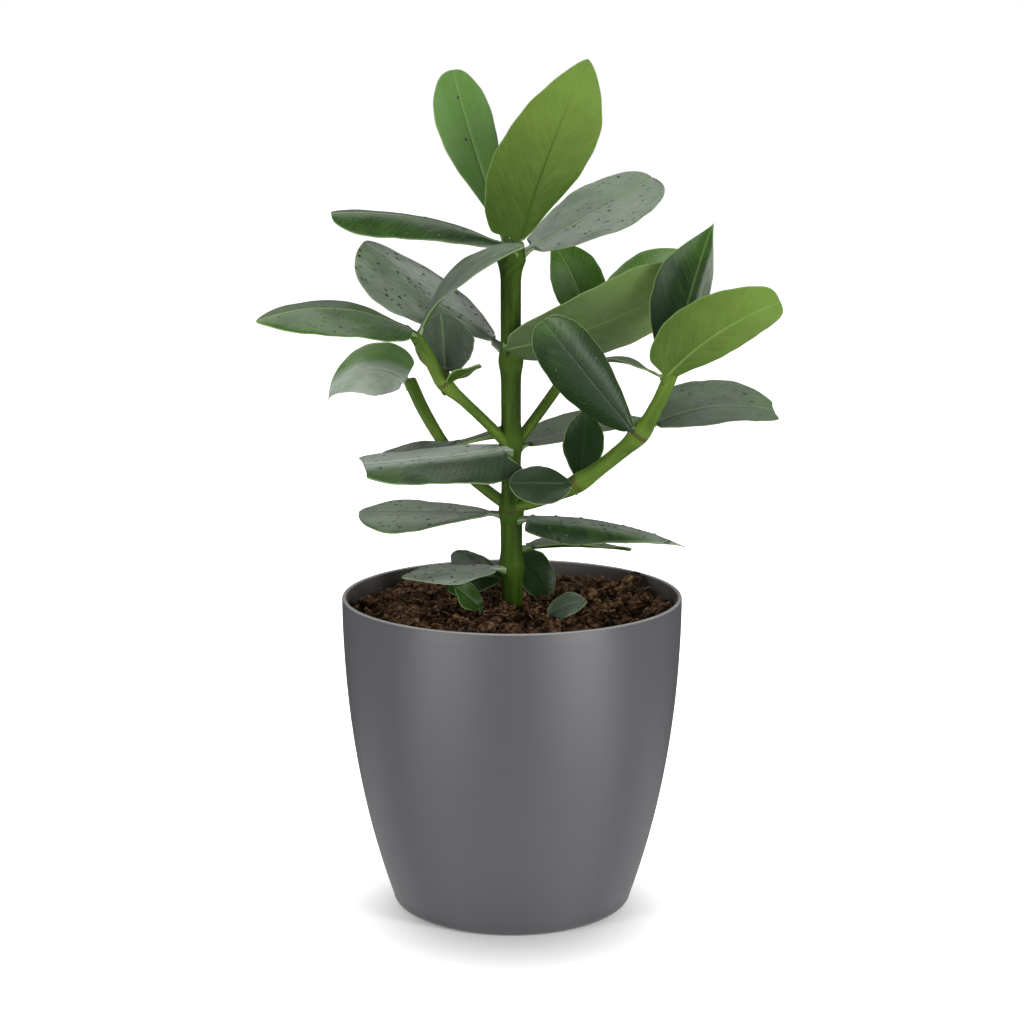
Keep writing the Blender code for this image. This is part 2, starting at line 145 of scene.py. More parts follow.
class Nodes:
    """A tree of shader nodes."""

    def __init__(self, tree: bpy.types.NodeTree) -> None:
        """Keeps the tree."""
        self.tree = tree

    def node(self, kind: str, settings: dict, inputs: dict, output: int | str = 0) -> Value:
        """Adds a node.

        Args:
            kind: The node's type.
            settings: Its properties, which are set first.
            inputs: A number, a colour or a Value for each socket, by index or name.
            output: The output that is wanted, by index or name.

        Returns:
            That output as a Value.
        """
        made = self.tree.nodes.new(kind)
        for key, setting in settings.items():
            setattr(made, key, setting)
        for key, given in inputs.items():
            self.feed(made.inputs[key], given)
        return Value(self, made.outputs[output])

    def feed(self, socket: bpy.types.NodeSocket, given: "Value | float | tuple") -> None:
        """Links a Value to a socket, or sets the socket to a number or a colour."""
        if isinstance(given, Value):
            self.tree.links.new(given.socket, socket)
        elif isinstance(given, tuple) and len(given) == 3 and socket.type == "RGBA":
            socket.default_value = (*given, 1.0)
        else:
            socket.default_value = given

    def place(self) -> Value:
        """Returns Object coordinates, in metres."""
        return self.node("ShaderNodeTexCoord", {}, {}, "Object")

    def attribute(self, name: str) -> tuple[Value, ...]:
        """Returns the three numbers of a vector attribute of the mesh."""
        return self.split(self.node("ShaderNodeAttribute", {"attribute_name": name}, {}, "Vector"))

    def split(self, vector: Value) -> tuple[Value, ...]:
        """Returns the three numbers of a vector."""
        first = self.node("ShaderNodeSeparateXYZ", {}, {0: vector})
        return tuple(Value(self, output) for output in first.socket.node.outputs)

    def length(self, vector: Value) -> Value:
        """Returns the length of a vector."""
        return self.node("ShaderNodeVectorMath", {"operation": "LENGTH"}, {0: vector}, "Value")

    def vector(self, x: "Value | float", y: "Value | float", z: "Value | float") -> Value:
        """Returns a vector of three numbers."""
        return self.node("ShaderNodeCombineXYZ", {}, {0: x, 1: y, 2: z})

    def stretched(self, vector: Value, scale: Point) -> Value:
        """Returns a vector multiplied axis by axis."""
        return self.node("ShaderNodeVectorMath", {"operation": "MULTIPLY"}, {0: vector, 1: scale})

    def mottle(self, vector: Value, scale: float, detail: float = 2.0, roughness: float = 0.5) -> Value:
        """Returns noise, about 0.5 on average."""
        inputs = {"Vector": vector, "Scale": scale, "Detail": detail, "Roughness": roughness}
        return self.node("ShaderNodeTexNoise", {}, inputs)

    def smears(self, along: Value, across: Value, pitch: Point, detail: float, roughness: float) -> Value:
        """Returns noise drawn out over a surface; pitch is how fine it is each way, and which slice it is."""
        vector = self.vector(along * pitch[0], across * pitch[1], pitch[2])
        return self.mottle(vector, 1.0, detail, roughness)

    def cells(self, vector: Value, scale: float) -> Value:
        """Returns the distance to the nearest of scattered points."""
        return self.node("ShaderNodeTexVoronoi", {}, {"Vector": vector, "Scale": scale})

    def mix(self, share: "Value | float", first: "Value | Colour", second: "Value | Colour") -> Value:
        """Returns a colour that goes from the first to the second as the share goes from 0 to 1."""
        settings = {"data_type": "RGBA", "clamp_factor": True}
        return self.node("ShaderNodeMix", settings, {0: share, 6: first, 7: second}, 2)

    def bump(self, height: Value, depth: float, strength: float) -> Value:
        """Returns a normal for a height field whose full depth is given in millimetres."""
        inputs = {"Strength": strength, "Distance": depth * MM, "Height": height}
        return self.node("ShaderNodeBump", {}, inputs)


class Recipe(Nodes):
    """One procedural material on a Principled shader."""

    def __init__(self, name: str) -> None:
        """Starts a material of that name."""
        self.material = bpy.data.materials.new(name)
        self.material.use_nodes = True
        super().__init__(self.material.node_tree)
        self.shader = self.tree.nodes["Principled BSDF"]

    def set(self, **sockets: "Value | float | tuple") -> None:
        """Feeds the shader's sockets, named with underscores for spaces."""
        for name, given in sockets.items():
            self.feed(self.shader.inputs[name.replace("_", " ")], given)

    def finish(self, colour: Value, roughness: "Value | float", gloss: float, normal: Value) -> Material:
        """Feeds what every skin of the plant, pot and soil has, and returns the material."""
        self.set(Base_Color=colour, Roughness=roughness, Specular_IOR_Level=gloss, Normal=normal)
        return self.material


class Bench:
    """Mesh work that every sub-assembly shares."""

    @staticmethod
    def add(operator: Callable, name: str, **settings: float | str) -> Piece:
        """Adds one of Blender's plain meshes.

        Args:
            operator: The operator that adds it.
            name: The object's name.
            **settings: The operator's settings.

        Returns:
            The new object, which is active and the only one selected.
        """
        bpy.ops.object.select_all(action="DESELECT")
        operator(**settings)
        made = bpy.context.object
        made.name = made.data.name = name
        return made

    @classmethod
    def grid(cls, name: str, columns: int, rows: int) -> Piece:
        """Adds a flat grid of that many faces, its points in rows that run from low y to high y."""
        return cls.add(bpy.ops.mesh.primitive_grid_add, name, x_subdivisions=columns, y_subdivisions=rows)

    @staticmethod
    def shape(piece: Piece, points: Iterable[Point]) -> None:
        """Moves the mesh's points to places in millimetres."""
        places = np.asarray(list(points), np.float32) * MM
        piece.data.vertices.foreach_set("co", places.ravel())
        piece.data.update()

    @staticmethod
    def pick(piece: Piece) -> None:
        """Makes the piece active and selects nothing else."""
        bpy.ops.object.select_all(action="DESELECT")
        piece.select_set(True)
        bpy.context.view_layer.objects.active = piece

    @classmethod
    def apply(cls, piece: Piece, kind: str, settings: dict) -> None:
        """Adds a modifier and applies it."""
        cls.pick(piece)
        modifier = piece.modifiers.new(kind.lower(), kind)
        for key, setting in settings.items():
            setattr(modifier, key, setting)
        bpy.ops.object.modifier_apply(modifier=modifier.name)

    @classmethod
    def weld(cls, piece: Piece) -> None:
        """Joins points that meet, such as at a seam or a pole, and turns the faces outwards."""
        cls.pick(piece)
        bpy.ops.object.mode_set(mode="EDIT")
        bpy.ops.mesh.select_all(action="SELECT")
        bpy.ops.mesh.remove_doubles(threshold=1e-6)
        bpy.ops.mesh.normals_make_consistent(inside=False)
        bpy.ops.object.mode_set(mode="OBJECT")

    @staticmethod
    def label(piece: Piece, name: str, triples: Iterable[Point]) -> None:
        """Stores three numbers for each point as a vector attribute."""
        stored = piece.data.attributes.new(name, "FLOAT_VECTOR", "POINT")
        stored.data.foreach_set("vector", np.asarray(list(triples), np.float32).ravel())

    @staticmethod
    def dress(piece: Piece, materials: Iterable[Material]) -> None:
        """Gives the piece its materials, in the order of the numbers that its faces hold."""
        for material in materials:
            piece.data.materials.append(material)

    @classmethod
    def finish(cls, piece: Piece, slot: Slot, materials: Iterable[Material] = ()) -> None:
        """Shades the piece smooth, dresses it and makes it ride on the plant's one body."""
        piece.data.shade_smooth()
        cls.dress(piece, materials)
        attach(piece, BODY)

    @staticmethod
    def scatter(name: str, patterns: list[Piece], places: list[tuple[int, Matrix]]) -> Piece:
        """Copies small patterns to many places as one piece and removes the patterns.

        Args:
            name: The new piece's name.
            patterns: The shapes to copy.
            places: For each copy, which pattern it is of and where it goes, in metres.

        Returns:
            One object with all the copies and a random number for each in its "shade" attribute.
        """
        corners, faces, shades = [], [], []
        draw = random.Random(name)
        for index, matrix in places:
            mesh = patterns[index].data
            start = len(corners)
            corners.extend((matrix @ vertex.co)[:] for vertex in mesh.vertices)
            faces.extend(tuple(start + corner for corner in face.vertices) for face in mesh.polygons)
            shade = draw.random()
            shades.extend([(shade, shade, shade)] * len(mesh.vertices))
        joined = bpy.data.meshes.new(name)
        joined.from_pydata(corners, [], faces)
        piece = bpy.data.objects.new(name, joined)
        bpy.context.scene.collection.objects.link(piece)
        for pattern in patterns:
            bpy.data.objects.remove(pattern)
        Bench.label(piece, "shade", shades)
        return piece


@dataclass(frozen=True)
class PotPlastic:
    """Satin dark grey moulded plastic, lighter and browner inside from soil dust and painted light reflected
    off the soil, with a painted highlight where the lip catches the light.

    The radii and heights, in metres, are where the lighter inside and the lip's painted highlight begin and
    where they are full.
    """

    colour: Colour = (0.062, 0.061, 0.067)
    inside: Colour = (0.125, 0.110, 0.098)
    lip: Colour = (0.290, 0.286, 0.282)
    lightest: float = 1.12
    lip_highlight_share: float = 0.8
    roughness: float = 0.30
    gloss: float = 0.6
    grain_mm: float = 0.05
    cloud_scale: float = 9.0
    grain_scale: float = 900.0
    turning_scale: Point = (6.0, 6.0, 900.0)
    inside_radii: Pair = (0.0885, 0.0865)
    inside_heights: Pair = (0.125, 0.140)
    lip_heights: Pair = (0.1660, 0.1669)

    def material(self) -> Material:
        """Returns the finish as a material."""
        recipe = Recipe("pot_plastic")
        place = recipe.place()
        cloud = recipe.mottle(place, self.cloud_scale, 3.0)
        fine = recipe.mottle(place, self.grain_scale)
        turned = recipe.mottle(recipe.stretched(place, self.turning_scale), 1.0, 3.0, 0.7)
        lighter = tuple(part * self.lightest for part in self.colour)
        body = recipe.mix(0.5 * cloud + 0.9 * (turned - 0.5), self.colour, lighter)
        radius = recipe.length(recipe.stretched(place, (1.0, 1.0, 0.0)))
        _, _, height = recipe.split(place)
        # Lighter and browner inside: soil dust, and painted light reflected off the soil.
        dust_and_painted_reflection = radius.step(*self.inside_radii) * height.step(*self.inside_heights)
        body = recipe.mix(dust_and_painted_reflection, body, self.inside)
        # Painted highlight along the lip.
        body = recipe.mix(height.step(*self.lip_heights) * self.lip_highlight_share, body, self.lip)
        roughness = self.roughness + 0.06 * (cloud - 0.5) + 0.05 * (fine - 0.5)
        return recipe.finish(body, roughness, self.gloss, recipe.bump(fine, self.grain_mm, 0.35))


@dataclass(frozen=True)
class Peat:
    """Moist potting soil: brown, dull and crumbly, with pale strands, and painted shade in the hollows.

    The painted shade heights, in metres, are where the painted shade begins and where it is full.
    """

    dark: Colour = (0.008, 0.004, 0.002)
    middle: Colour = (0.142, 0.080, 0.041)
    light: Colour = (0.430, 0.270, 0.145)
    roughness: float = 0.92
    gloss: float = 0.10
    relief_mm: float = 1.6
    lump_scale: float = 95.0
    grit_scale: float = 620.0
    crumb_scale: float = 420.0
    strand_scale: float = 900.0
    strand_stretch: Point = (0.35, 1.0, 1.0)
    painted_shade_heights: Pair = (0.1625, 0.1555)

    def material(self) -> Material:
        """Returns the finish as a material."""
        recipe = Recipe("peat")
        place = recipe.place()
        coarse = recipe.mottle(place, self.lump_scale, 5.0, 0.65)
        fine = recipe.mottle(place, self.grit_scale, 4.0, 0.7)
        crumbs = recipe.cells(place, self.crumb_scale)
        strand = recipe.mottle(recipe.stretched(place, self.strand_stretch), self.strand_scale, 3.0, 0.6)
        body = recipe.mix(coarse.step(0.40, 0.58), self.dark, self.middle)
        body = recipe.mix(strand.step(0.60, 0.74) * 0.75, body, self.light)
        body = recipe.mix(crumbs.step(0.42, 0.70) * 0.8, body, self.dark)
        # Painted shade: the lower the bed's surface, the darker.
        _, _, height = recipe.split(place)
        body = recipe.mix(height.step(*self.painted_shade_heights) * 0.85, body, self.dark)
        relief = 0.6 * fine + 0.5 * coarse - 0.5 * crumbs
        return recipe.finish(body, self.roughness, self.gloss, recipe.bump(relief, self.relief_mm, 0.9))


@dataclass(frozen=True)
class LooseBits:
    """Crumbs and fibres on the soil, each a little lighter or darker than the next."""

    name: str
    dark: Colour
    light: Colour
    roughness: float = 0.9
    gloss: float = 0.10
    relief_mm: float = 0.5
    grain_scale: float = 700.0

    def material(self) -> Material:
        """Returns the finish as a material, from the random "shade" number of each bit."""
        recipe = Recipe(self.name)
        shade, _, _ = recipe.attribute("shade")
        fine = recipe.mottle(recipe.place(), self.grain_scale, 3.0, 0.6)
        body = recipe.mix((shade * 0.8 + (fine - 0.5) * 0.7).clamped(), self.dark, self.light)
        return recipe.finish(body, self.roughness, self.gloss, recipe.bump(fine, self.relief_mm, 0.7))


@dataclass(frozen=True)
class StemSkin:
    """Smooth green skin of a young stem, with pale streaks and a brown scar at the joints.

    The "place" attribute holds millimetres along and around the stem and how near a joint is, from 0 to 1.
    """

    name: str = "stem_skin"
    deep: Colour = (0.012, 0.028, 0.002)
    fresh: Colour = (0.038, 0.078, 0.006)
    pale: Colour = (0.090, 0.150, 0.030)
    scar: Colour = (0.045, 0.030, 0.012)
    roughness: float = 0.48
    gloss: float = 0.12
    relief_mm: float = 0.25
    streak_pitch: Point = (0.03, 0.22, 0.0)
    fine_pitch: Point = (0.3, 2.4, 3.0)
    blotch_scale: float = 70.0

    def material(self) -> Material:
        """Returns the finish as a material."""
        recipe = Recipe(self.name)
        along, around, joint = recipe.attribute("place")
        streaks = recipe.smears(along, around, self.streak_pitch, 3.0, 0.5)
        fine = recipe.smears(along, around, self.fine_pitch, 3.0, 0.6)
        blotch = recipe.mottle(recipe.place(), self.blotch_scale, 3.0, 0.55)
        body = recipe.mix(streaks.step(0.15, 0.85), self.deep, self.fresh)
        body = recipe.mix(fine.step(0.50, 0.80) * 0.35, body, self.pale)
        body = recipe.mix(joint.step(0.15, 0.9) * 0.55, body, self.fresh)
        body = recipe.mix(joint.step(0.93, 1.0) * blotch.step(0.40, 0.62) * 0.85, body, self.scar)
        roughness = self.roughness + 0.12 * (blotch - 0.5)
        normal = recipe.bump(0.5 * streaks + 0.3 * fine, self.relief_mm, 0.3)
        return recipe.finish(body, roughness, self.gloss, normal)


class Side(Enum):
    """The parts of a leaf that have a material of their own."""

    UPPER = "leaf_upper"
    UNDER = "leaf_under"
    MARGIN = "leaf_margin"


@dataclass(frozen=True)
class LeafSkin:
    """Leathery leaf skin: glossy above, matte and lighter below, with a pale margin.

    Three attributes of every leaf steer it. "place" holds the millimetres along the midrib, across from it
    and in from the margin. "look" holds how fresh the green is, how wet the leaf is and how its midrib shows.
    "wax" holds how thick the painted grey sheen is, how much less of it one half has and how
    dull the skin is.
    """

    side: Side
    old: Colour
    fresh: Colour
    rib: Colour
    shaded_rib: Colour
    roughness: float
    margin: Colour = (0.190, 0.270, 0.100)
    wet: Colour = (0.006, 0.013, 0.006)
    painted_sheen: Colour = (0.250, 0.285, 0.240)
    painted_sheen_share: float = 0.0
    gloss: float = 0.5
    tipward_lightening: float = 0.3
    vein_gap_mm: float = 3.1
    vein_slant: float = 0.85
    vein_strength: float = 0.04
    rib_strength: float = 0.85
    margin_strength: float = 0.55
    wet_strength: float = 0.85
    relief_mm: float = 0.60
    blotch_scale: float = 55.0
    grain_scale: float = 420.0
    waver_scale: float = 120.0
    streak_slant: float = 1.3
    streak_pitch: Point = (0.55, 0.10, 2.0)
    smear_pitch: Point = (0.16, 0.80, 5.0)
    patch_pitch: Point = (0.045, 0.13, 8.0)
    spot_pitch: Point = (0.20, 0.46, 1.7)

    def material(self) -> Material:
        """Returns the finish as a material."""
        recipe = Recipe(self.side.value)
        along, across, inward = recipe.attribute("place")
        tone, wetness, vein_show = recipe.attribute("look")
        reach = abs(across)
        place = recipe.place()
        blotch = recipe.mottle(place, self.blotch_scale, 3.0, 0.55)
        fine = recipe.mottle(place, self.grain_scale, 3.0, 0.6)
        waver = recipe.mottle(place, self.waver_scale)
        # Lighter towards the tip and darker near the stalk.
        towards_tip = self.tipward_lightening * (along.step(5.0, 90.0) - 0.6)
        streaks = recipe.smears(along - reach * self.streak_slant, across, self.streak_pitch, 3.0, 0.6)
        age = tone + towards_tip + 0.60 * (blotch - 0.5) + 0.60 * (streaks - 0.5)
        body = recipe.mix(age.clamped(), self.old, self.fresh)

        line = (along - reach * self.vein_slant + waver * 1.6) * (1 / self.vein_gap_mm)
        ridge = abs(line.part() - 0.5) * 2.0
        side_veins = ridge.step(0.72, 1.0) * reach.step(0.6, 2.2)
        body = recipe.mix(side_veins * self.vein_strength, body, self.rib)

        midrib = (reach + (waver - 0.5) * 0.3).step(0.85, 0.25) * along.step(-2.0, 3.0)
        body = recipe.mix(midrib * vein_show.step(0.0, 1.0) * self.rib_strength, body, self.rib)
        dark_show = (0.0 - vein_show).step(0.0, 1.0)
        fading = along.step(95.0, 20.0)
        body = recipe.mix(midrib * dark_show * fading * self.rib_strength, body, self.shaded_rib)
        body = recipe.mix(inward.step(0.75, 0.20) * self.margin_strength, body, self.margin)

        # Painted sheen: a grey reflection of the light laid into the colour, on the halves that face the
        # light above.
        painted_sheen, lean, dull = recipe.attribute("wax")
        cover = self.painted_sheen_cover(recipe, (along, across), painted_sheen, lean)
        body = recipe.mix(cover * self.painted_sheen_share, body, self.painted_sheen)
        # Wet streaks: water that is glossier and raised, with its dark reflection painted into the colour.
        spots = self.wet_spots(recipe, along, across, wetness)
        body = recipe.mix(spots * self.wet_strength, body, self.wet)
        relief = 0.08 * side_veins - 0.4 * midrib + 0.22 * fine + 0.9 * blotch + 0.8 * spots
        roughness = self.roughness + 0.14 * (blotch - 0.5) - 0.16 * spots + 0.35 * dull
        return recipe.finish(body, roughness, self.gloss, recipe.bump(relief, self.relief_mm, 0.8))

    def painted_sheen_cover(self, recipe: Recipe, place: tuple[Value, Value], painted_sheen: Value, lean: Value) -> Value:
        """Returns how thickly the painted grey sheen lies, in smears and patches and less on the half that
        lean picks.
        """
        smear = recipe.smears(*place, self.smear_pitch, 4.0, 0.6)
        patches = recipe.smears(*place, self.patch_pitch, 2.0, 0.5)
        less_sheen = (abs(lean) * 9.0 - 8.0 - place[1] * lean).step(0.0, 6.0) * abs(lean).clamped()
        streaky = 0.30 + 0.42 * smear.step(0.10, 0.80)
        return painted_sheen * (1.0 - less_sheen) * streaky * (0.75 + 0.50 * patches.step(0.30, 0.70))

    def wet_spots(self, recipe: Recipe, along: Value, across: Value, wetness: Value) -> Value:
        """Returns where small wet streaks lie; a side that stays dry has none."""
        if self.side is not Side.UPPER:
            return wetness * 0.0
        vector = recipe.vector(along * self.spot_pitch[0], across * self.spot_pitch[1], self.spot_pitch[2])
        centre = recipe.cells(vector, 1.0)
        chosen = recipe.mottle(recipe.stretched(vector, (0.8, 0.8, 0.8)), 1.0, 1.0)
        return centre.step(0.30, 0.20) * chosen.step(0.50, 0.58) * wetness


@dataclass(frozen=True)
class DropSkin:
    """A bead of water on a leaf, coloured dark green: a painted reflection of the leaf below it."""

    colour: Colour = (0.020, 0.034, 0.018)
    lightest: float = 1.8
    cloud_scale: float = 300.0

    def material(self) -> Material:
        """Returns the finish as a material."""
        recipe = Recipe("water_bead")
        cloud = recipe.mottle(recipe.place(), self.cloud_scale)
        lighter = tuple(part * self.lightest for part in self.colour)
        recipe.set(
            Base_Color=recipe.mix(cloud, self.colour, lighter),
            Roughness=0.06 + 0.06 * cloud,
            Coat_Weight=0.5,
        )
        return recipe.material


@dataclass
class Pot:
    """The turned pot: a round shell whose sides draw in to a flat base."""

    base_radius: float = 63.2
    foot_rounding: float = 3.5
    wall: float = 2.4
    floor: float = 3.0
    even_taper: float = 0.88
    side_rings: int = 26
    facets: int = 160
    radius: float = field(init=False)
    height: float = field(init=False)

    def __post_init__(self) -> None:
        """Takes the rim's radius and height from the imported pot."""
        _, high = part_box("pot")
        self.radius = high.x / MM
        self.height = high.z / MM

    def radius_at(self, height: float) -> float:
        """Returns the outer radius at a height."""
        depth = (self.height - height) / self.height
        taper = self.even_taper * depth**2 + (1 - self.even_taper) * depth**4
        return self.radius - (self.radius - self.base_radius) * taper

    def outline(self) -> list[Pair]:
        """Returns (radius, height) from the base's rim up the outside, over the lip and down inside."""
        foot, lip = self.foot_rounding, self.wall / 2
        side = self.height - lip - foot
        heights = [foot + side * ring / self.side_rings for ring in range(self.side_rings + 1)]
        start = self.radius_at(foot) - foot
        turns = [math.radians(15 * step) for step in range(6)]
        foot_arc = [(start + foot * math.sin(turn), foot * (1 - math.cos(turn))) for turn in turns]
        outside = [(self.radius_at(height), height) for height in heights]
        turns = [math.radians(20 * step) for step in range(1, 9)]
        middle, level = self.radius - lip, self.height - lip
        lip_arc = [(middle + lip * math.cos(turn), level + lip * math.sin(turn)) for turn in turns]
        inside = [(radius - self.wall, height) for radius, height in reversed(outside) if height > self.floor]
        return [*foot_arc, *outside, *lip_arc, *inside, (inside[-1][0] - foot, self.floor)]

    def build(self, plastic: Material) -> None:
        """Turns the pot ring by ring from a disc, as on a lathe; it replaces its solid.

        Args:
            plastic: The pot's material.
        """
        outline = self.outline()
        radius, height = outline[0]
        disc = bpy.ops.mesh.primitive_circle_add
        piece = Bench.add(disc, "flower_pot", vertices=self.facets, radius=radius * MM, fill_type="TRIFAN")
        bpy.ops.object.mode_set(mode="EDIT")
        bpy.ops.mesh.select_all(action="SELECT")
        bpy.ops.mesh.region_to_loop()
        for next_radius, next_height in outline[1:]:
            rise = (next_height - height) * MM
            bpy.ops.mesh.extrude_edges_move(TRANSFORM_OT_translate={"value": (0, 0, rise)})
            scale = next_radius / radius
            bpy.ops.transform.resize(value=(scale, scale, 1), center_override=(0, 0, next_height * MM))
            radius, height = next_radius, next_height
        bpy.ops.mesh.edge_face_add()
        bpy.ops.object.mode_set(mode="OBJECT")
        Bench.weld(piece)
        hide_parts("pot")
        Bench.finish(piece, Slot.POT, [plastic])


@dataclass
class SoilBed:
    """The soil that fills the pot: a lumpy bed with clods, crumbs and fibres on it.

    A layer is how fine its lumps are and how high. A heap is where it is, how high and how wide. A hollow is
    sunk wherever one more layer of noise passes hollow_level.
    """

    pot: Pot
    middle_height: float = 160.5
    edge_height: float = 157.5
    side_heights: tuple[float, ...] = (20.0, 45.0, 75.0, 105.0, 130.0, 148.0)
    clear_of_wall: float = 0.4
    clear_of_floor: float = 0.3
    edge_share: float = 0.04
    edge_sink: float = 1.5
    lump_size: float = 14.0
    layers: tuple[Pair, ...] = ((1.0, 4.3), (2.3, 2.15), (3.1, 2.2), (7.0, 1.2), (17.0, 0.6))
    hollow_fineness: float = 2.2
    hollow_level: float = 0.10
    hollow_depth: float = 11.0
    heaps: tuple[tuple[float, float, float, float], ...] = (
        (52.0, 34.0, 4.5, 26.0),
        (-50.0, 30.0, 3.0, 24.0),
        (5.0, -38.0, 2.5, 20.0),
        (-58.0, -14.0, 2.0, 16.0),
    )
    rings: int = 92
    facets: int = 240
    clods: int = 210
    crumbs: int = 1000
    fibres: int = 620
    clod_sizes: Pair = (1.8, 5.0)
    crumb_sizes: Pair = (0.35, 1.7)
    fibre_sizes: Pair = (0.6, 1.5)
    bits_clear_of_wall: float = 5.0
    bits_clear_of_stem: float = 9.0
    bits_lift: float = 0.25

    def inner_radius(self, height: float) -> float:
        """Returns the bed's radius at a height, a little clear of the pot's wall."""
        return self.pot.radius_at(height) - self.pot.wall - self.clear_of_wall

    def height(self, x: float, y: float) -> float:
        """Returns the height of the bed's surface: a low mound with lumps, heaps and hollows."""
        reach = math.hypot(x, y) / (self.pot.radius - self.pot.wall)
        mound = self.middle_height + (self.edge_height - self.middle_height) * reach**2
        place = Vector((x, y, 0)) / self.lump_size
        lumps = sum(high * noise.noise(fineness * place) for fineness, high in self.layers)
        hollow = noise.noise(self.hollow_fineness * place + Vector((9, 4, 2))) - self.hollow_level
        heaps = sum(
            high * math.exp(-(((x - middle_x) / spread) ** 2) - ((y - middle_y) / spread) ** 2)
            for middle_x, middle_y, high, spread in self.heaps
        )
        return mound + lumps + heaps - max(0.0, hollow) * self.hollow_depth

    def build(self, peat: Material, crumb: Material, fibre: Material) -> None:
        """Makes the bed, which replaces its solid, and what lies loose on it.

        Args:
            peat: The bed's and the clods' material.
            crumb: The crumbs' material.
            fibre: The fibres' material.
        """
        bed = Bench.grid("soil_bed", self.facets, self.rings)
        Bench.shape(bed, self.bed_points())
        Bench.weld(bed)
        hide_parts("soil")
        Bench.finish(bed, Slot.SOIL, [peat])
        clods = [self.lump(f"clod_{index}", 3, 0.42, 9.0 * index) for index in range(3)]
        crumbs = [self.lump(f"crumb_{index}", 2, 0.55, 5.0 * index + 2) for index in range(3)]
        fibres = [self.strand(index) for index in range(4)]
        self.scatter_bits("soil_clods", clods, self.clods, self.clod_sizes, peat)
        self.scatter_bits("soil_crumbs", crumbs, self.crumbs, self.crumb_sizes, crumb)
        self.scatter_bits("soil_fibres", fibres, self.fibres, self.fibre_sizes, fibre)

    def bed_points(self) -> Iterable[Point]:
        """Yields the bed's points, from the middle of its underside up the wall to the middle of its top."""
        floor, foot = self.pot.floor + self.clear_of_floor, self.pot.foot_rounding
        skirt = [(0.0, floor), (self.inner_radius(floor) - foot, floor)]
        skirt += [(self.inner_radius(height), height) for height in (floor + foot, *self.side_heights)]
        turns = ring_turns(self.facets)
        for radius, height in skirt:
            for turn in turns:
                yield radius * math.cos(turn), radius * math.sin(turn), height
        top_rows = self.rings - len(skirt)
        for row in range(top_rows + 1):
            share = 1 - row / top_rows
            radius = self.inner_radius(self.edge_height) * share**0.8
            sink = self.edge_sink * max(0.0, share - (1 - self.edge_share)) / self.edge_share
            for turn in turns:
                x, y = radius * math.cos(turn), radius * math.sin(turn)
                yield x, y, self.height(x, y) - sink

    @staticmethod
    def lump(name: str, divisions: int, roughness: float, seed: float) -> Piece:
        """Returns a ball of 1 mm radius pushed in and out by noise, and flattened a little."""
        made = Bench.add(bpy.ops.mesh.primitive_ico_sphere_add, name, subdivisions=divisions, radius=MM)
        for vertex in made.data.vertices:
            direction = vertex.co / MM
            push = 1 + roughness * noise.noise(1.7 * direction + Vector((seed, 0, 0)))
            push += 0.5 * roughness * noise.noise(4.0 * direction + Vector((0, seed, 0)))
            vertex.co = Vector((direction.x, direction.y * 0.8, direction.z * 0.65)) * (push * MM)
        return made

    @staticmethod
    def strand(index: int, length: float = 9.0, sides: int = 4, steps: int = 7) -> Piece:
        """Returns a thin bent fibre; the higher its index, the thicker and the more bent it is."""
        made = Bench.grid(f"fibre_{index}", sides, steps)
        points = []
        for step in range(steps + 1):
            share = step / steps
            sideways = (1.4 + 0.5 * index) * math.sin(math.pi * share * (0.9 + 0.35 * index))
            upward = 1.1 * math.sin(math.pi * share * (1 + 0.5 * index))
            middle = Vector((length * (share - 0.5), sideways, upward))
            radius = 0.0 if step in (0, steps) else 0.13 + 0.03 * index
            for turn in ring_turns(sides):
                points.append(middle + Vector((0, radius * math.cos(turn), radius * math.sin(turn))))
        Bench.shape(made, points)
        Bench.weld(made)
        return made

    def scatter_bits(
        self, name: str, patterns: list[Piece], count: int, sizes: Pair, material: Material
    ) -> None:
        """Lays copies of the patterns on the bed, clear of the wall and of the main stem.

        Args:
            name: The new piece's name, which also seeds the draws.
            patterns: The shapes to copy.
            count: How many copies.
            sizes: The smallest and the largest copy, as multiples of its pattern.
            material: The material of them all.
        """
        draw = random.Random(name)
        smallest, largest = sizes
        reach = self.inner_radius(self.edge_height) - self.bits_clear_of_wall
        places = []
        while len(places) < count:
            radius = reach * math.sqrt(draw.random())
            turn = draw.uniform(0, 2 * math.pi)
            x, y = radius * math.cos(turn), radius * math.sin(turn)
            size = smallest + (largest - smallest) * draw.random() ** 2
            if radius < self.bits_clear_of_stem:
                continue
            lean = (draw.uniform(-0.5, 0.5), draw.uniform(-0.45, 0.45), draw.uniform(0, 6.3))
            turned = Euler(lean).to_matrix().to_4x4()
            spot = Matrix.Translation(Vector((x, y, self.height(x, y) + self.bits_lift * size)) * MM)
            places.append((draw.randrange(len(patterns)), spot @ turned @ Matrix.Scale(size, 4)))
        piece = Bench.scatter(name, patterns, places)
        Bench.finish(piece, Slot.SOIL, [material])


@dataclass(frozen=True)
class StemForm:
    """One stem: x, y, z and radius along its middle, and the heights of its joints."""

    name: str
    route: tuple[tuple[float, float, float, float], ...]
    joints: tuple[float, ...] = ()


